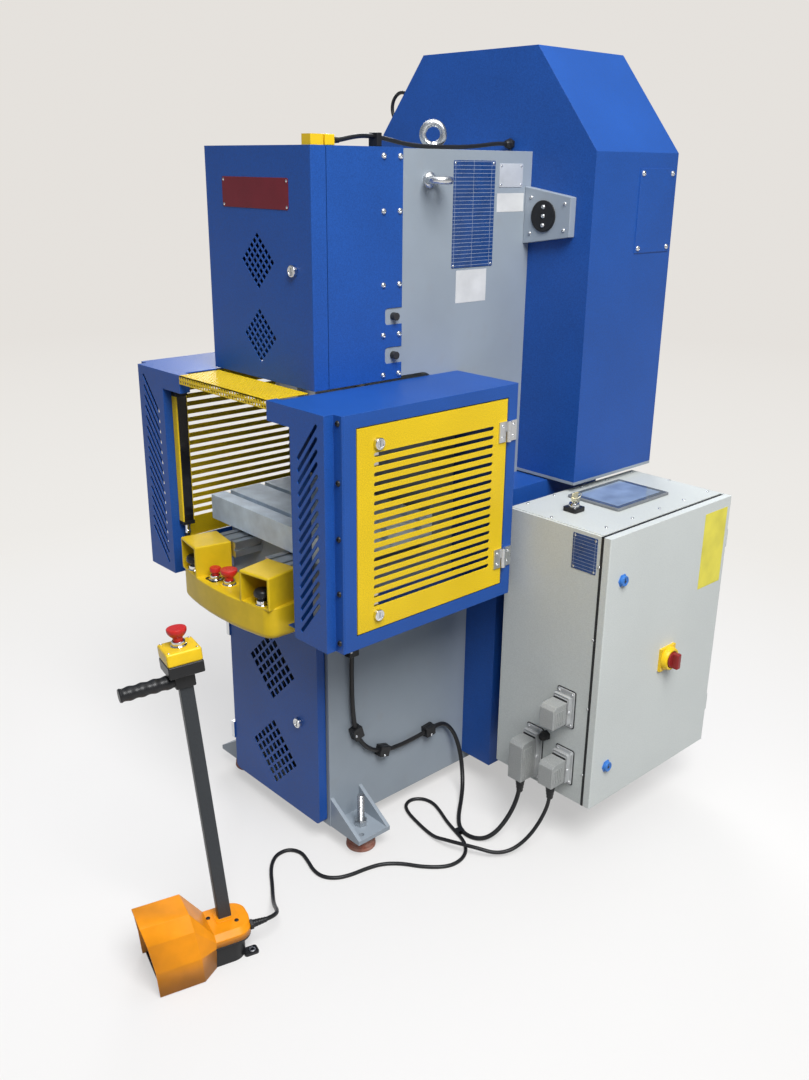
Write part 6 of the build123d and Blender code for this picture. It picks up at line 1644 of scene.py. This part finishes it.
class PRESS_OT_foot_switch(bpy.types.Operator):
    """Build the foot switch's hood, its pole with the grip, and the stop box"""

    bl_idname = "press.foot_switch"
    bl_label = "Foot switch"

    # half of each section from the floor up, as (half width, distance from the front, height) points
    MOUTH = ((76.0, 3.0, 2.0), (76.0, -2.0, 66.0), (60.0, -12.0, 128.0), (37.0, -19.0, 160.0))
    SHOULDER = ((76.0, 103.0, 2.0), (76.0, 98.0, 66.0), (60.0, 91.0, 128.0), (37.0, 87.0, 160.0))
    WAIST = ((48.0, 138.0, 2.0), (55.0, 138.0, 60.0), (55.0, 138.0, 76.0), (43.0, 138.0, 88.0))
    BACK_END, BACK_CORNER = 228.0, 34.0
    ROUNDING, WALL = 2.5, 4.0
    TOE_PLATE = ((-71, 71), (10, 100), (0, 6))
    NECK_PLATE = ((-46, 46), (96, 140), (0, 6))
    BASE_TOP, RIM = 60.0, 5
    BASE_HALF, RIM_HALF, BASE_INSET = 46, 55, 12
    GLAND = (30.0, 228.0, 73.0)
    BACK_SCREWS = ((-16.0, 143.0), (19.0, 198.0))
    LUG = (33.0, 227.0)
    LUG_RING = ((4, 6.1), (8, 6.1), (7.4, 7.4), (4.4, 7.4))
    RIBS, RIB_START, RIB_PITCH, RIB = 8, 20, 9, 4
    RIB_X, RIB_Z = (-46, 46), (35.4, 37.2)
    POLE = ((-10, 10), (-15, 15), (-2, POLE_TOP - 2))
    POLE_HEAD = ((-17, 17), (-24, 20), (POLE_TOP - 34, POLE_TOP))
    GRIP_Z, GRIP_START, GRIP_LONG, GRIP_STEPS = 592, 11, 122, 40
    GRIP_RADIUS, GROOVE = 14.6, 1.0
    GRIP_RIM = [(0, 2), (16.6, 2), (17, 4), (16.6, 9)]
    GRIP_END = [(15.4, 134), (14, 137.4), (0, 138.6)]
    CASE = ((-38, 38), (-38, 38), (POLE_TOP, POLE_TOP + 27))
    CASE_LID = ((-37.6, 37.6), (-37.6, 37.6), (POLE_TOP + 26, BOX_TOP))
    CASE_SCREWS = (-30, 30)

    def execute(self, context):
        self.hood()
        self.base()
        self.fittings()
        self.pole()
        self.stop_box()
        return {"FINISHED"}

    def corner(self):
        """The round corner of the low back: how far it draws in, and its distance from the front."""
        steps = 8
        for step in range(steps + 1):
            turn = QUARTER * step / steps
            inset, short = 1 - math.cos(turn), 1 - math.sin(turn)
            yield self.BACK_CORNER * inset, self.BACK_END - self.BACK_CORNER * short

    def hood(self):
        """The faceted hood, open at the mouth, with the low back behind it."""
        shape = bmesh.new()

        def chain(half):
            points = [(-x, y, z) for x, y, z in half] + list(reversed(half))
            points = [shape.verts.new(point) for point in points]
            return [shape.edges.new(pair) for pair in zip(points, points[1:])]

        front, middle, near = chain(self.MOUTH), chain(self.SHOULDER), chain(self.WAIST)
        bmesh.ops.bridge_loops(shape, edges=front + middle)
        bmesh.ops.bridge_loops(shape, edges=middle + near)
        near = near[1:-1]
        for inset, y in self.corner():
            far = chain([(x - inset, y, z) for x, _, z in self.WAIST[1:]])
            bmesh.ops.bridge_loops(shape, edges=near + far)
            near = far
        foot = shape.edges.new((near[0].verts[0], near[-1].verts[1]))
        bmesh.ops.contextual_create(shape, geom=near + [foot])
        bmesh.ops.recalc_face_normals(shape, faces=shape.faces)
        hood = Piece("foot_switch_hood", "orange_plastic")
        hood.join(shape, foot_place(), orange_plastic())
        made = hood.finish("pedal_hood")
        made.modifiers.clear()
        made.data.set_sharp_from_angle(angle=math.radians(14))
        rounding = made.modifiers.new("rounding", "BEVEL")
        rounding.width = self.ROUNDING * MM
        rounding.segments = 2
        rounding.limit_method = "ANGLE"
        rounding.angle_limit = math.radians(12)
        wall = made.modifiers.new("wall", "SOLIDIFY")
        wall.thickness = self.WALL * MM
        wall.offset = -1.0

    def plan(self, half, back):
        """The plan of the low back's base: square in front, round corners behind."""
        side = [(half, self.WAIST[0][1] - 8)]
        side += [(half - inset, y + back - self.BACK_END) for inset, y in self.corner()]
        return side + [(-x, y) for x, y in reversed(side)]

    def base(self):
        """The black base with its rim and screw lug, and the ribs of the treadle."""
        switch, black = foot_place(), black_plastic()
        base = Piece("foot_switch_base", "black_plastic")
        base.join(block(*self.TOE_PLATE, 1.6), switch, black)
        base.join(block(*self.NECK_PLATE, 1.6), switch, black)
        body = self.plan(self.BASE_HALF, self.BACK_END - self.BASE_INSET)
        base.join(prism(body, self.BASE_TOP - 3, 2.4), switch, black)
        rim = at(switch, z=self.BASE_TOP - self.RIM)
        base.join(prism(self.plan(self.RIM_HALF, self.BACK_END), self.RIM, 1.0), rim, black)
        lug = at(switch, *self.LUG)
        base.join(plate(26, 34, 6, 6, 1.0), at(lug, y=-4), black)
        base.join(turned(self.LUG_RING, 20), lug, bright_zinc())
        base.finish("pedal_base")
        ribs = Piece("treadle_ribs", "black_plastic", "foot_pedal")
        for step in range(self.RIBS):
            front = self.RIB_START + self.RIB_PITCH * step
            ribs.join(block(self.RIB_X, (front, front + self.RIB), self.RIB_Z, 0.6), switch, black)
        ribs.finish()

    def fittings(self):
        """Screws on the hood's low back, and the cord's gland."""
        fittings = Piece("foot_switch_fittings", "black_plastic")
        switch, black = foot_place(), black_plastic()
        fittings.screw([at(switch, *spot, POLE_FOOT[2]) for spot in self.BACK_SCREWS], 5.2, 2.2, 14, black)
        gland = at(switch, *self.GLAND, -QUARTER, "X")
        fittings.join(hexagon(21, 8), at(gland, z=-4), black)
        fittings.join(stepped_relief(9.0, 5.6, 34, 5), at(gland, z=3), black)
        fittings.finish()

    def pole(self):
        """A rectangular tube on a screwed foot, with a grip in finger grooves."""
        pole = Piece("switch_pole", "pole_paint")
        along, black = pole_place(), black_plastic()
        pole.join(block(*self.POLE, 2.6, 3), along, pole_coat())
        pole.join(plate(42, 54, 1.6, 8, 0.6), at(at(foot_place(), *POLE_FOOT), y=3), orange_plastic())
        pole.join(block(*self.POLE_HEAD, 3.0), along, black)
        wave = sizes().grip_wave / MM
        profile = list(self.GRIP_RIM)
        for step in range(self.GRIP_STEPS):
            reach = self.GRIP_LONG * step / self.GRIP_STEPS
            radius = self.GRIP_RADIUS + self.GROOVE * math.cos(math.tau * reach / wave)
            profile.append((radius, self.GRIP_START + reach))
        lying = at(along, z=self.GRIP_Z, turn=QUARTER, axis="X")
        pole.join(turned(profile + self.GRIP_END, 28), lying, black)
        pole.finish("pedal_pole")

    def stop_box(self):
        """The two-part box with its red mushroom button."""
        along = pole_place()
        deck = at(along, z=BOX_TOP)
        case = Piece("stop_box", "yellow_plastic")
        case.join(block(*self.CASE, 3.4, 3), along, black_plastic())
        case.join(block(*self.CASE_LID, 5.0, 4), along, signal_plastic())
        case.screw([at(deck, x, y) for x in self.CASE_SCREWS for y in self.CASE_SCREWS], 2.8, 1.4, 12)
        case.join(turned(BUTTON_RING, 36), deck, chrome())
        case.finish("pedal_estop_box")
        cap, button = turned(EMERGENCY_CAP, 40), "pole_emergency_stop"
        single("pole_emergency_cap", "red_plastic", button, cap, deck, red_plastic(), button)


class PRESS_OT_interlock(bpy.types.Operator):
    """Build the switch of the door interlock"""

    bl_idname = "press.interlock"
    bl_label = "Door interlock"

    def execute(self, context):
        low, high = span("door_interlock")
        middle = (low + high) / 2
        switch = Piece("interlock_switch", "yellow_plastic")
        switch.join(block(*zip(low, high), 1.8, 3), ORIGIN, signal_plastic())
        screws = [place(x, low.y + 9, high.z) for x in (low.x + 6, high.x - 6)]
        switch.screw(screws, 2.6, 1.6, 12)
        gland = place(middle.x, high.y - 1, middle.z, BACK)
        switch.join(stepped_relief(7.4, 5.6, 24), gland, black_plastic())
        switch.finish("door_interlock")
        return {"FINISHED"}


class PRESS_PT_pieces(bpy.types.Panel):
    """The press's pieces in the sidebar"""

    bl_label = "Eccentric press"
    bl_idname = "PRESS_PT_pieces"
    bl_space_type = "VIEW_3D"
    bl_region_type = "UI"
    bl_category = "Press"

    def draw(self, context):
        for operator in OPERATORS:
            self.layout.operator(operator.bl_idname)


OPERATORS = (
    PRESS_OT_stage,
    PRESS_OT_cables,
    PRESS_OT_finishes,
    PRESS_OT_clips,
    PRESS_OT_screws,
    PRESS_OT_back_panels,
    PRESS_OT_hinges,
    PRESS_OT_eye_bolts,
    PRESS_OT_locks,
    PRESS_OT_plates,
    PRESS_OT_encoder,
    PRESS_OT_light_curtains,
    PRESS_OT_grille,
    PRESS_OT_desk,
    PRESS_OT_cabinet,
    PRESS_OT_connectors,
    PRESS_OT_feet,
    PRESS_OT_foot_switch,
    PRESS_OT_interlock,
)
CLASSES = (PressColours, PressSizes, *OPERATORS, PRESS_PT_pieces)


def register():
    """Registers the classes and hangs the settings on the scene."""
    for cls in CLASSES:
        bpy.utils.register_class(cls)
    bpy.types.Scene.press_colours = PointerProperty(type=PressColours)
    bpy.types.Scene.press_sizes = PointerProperty(type=PressSizes)


def unregister():
    """Takes the settings and the classes away again."""
    del bpy.types.Scene.press_sizes
    del bpy.types.Scene.press_colours
    for cls in reversed(CLASSES):
        bpy.utils.unregister_class(cls)


def main():
    """Builds everything."""
    register()
    bpy.ops.press.stage()
    bpy.ops.press.cables()
    bpy.ops.press.finishes()
    bpy.ops.press.clips()
    bpy.ops.press.screws()
    bpy.ops.press.back_panels()
    bpy.ops.press.hinges()
    bpy.ops.press.eye_bolts()
    bpy.ops.press.locks()
    bpy.ops.press.plates()
    bpy.ops.press.encoder()
    bpy.ops.press.light_curtains()
    bpy.ops.press.grille()
    bpy.ops.press.desk()
    bpy.ops.press.cabinet()
    bpy.ops.press.connectors()
    bpy.ops.press.feet()
    bpy.ops.press.foot_switch()
    bpy.ops.press.interlock()


if __name__ == "__main__":
    main()
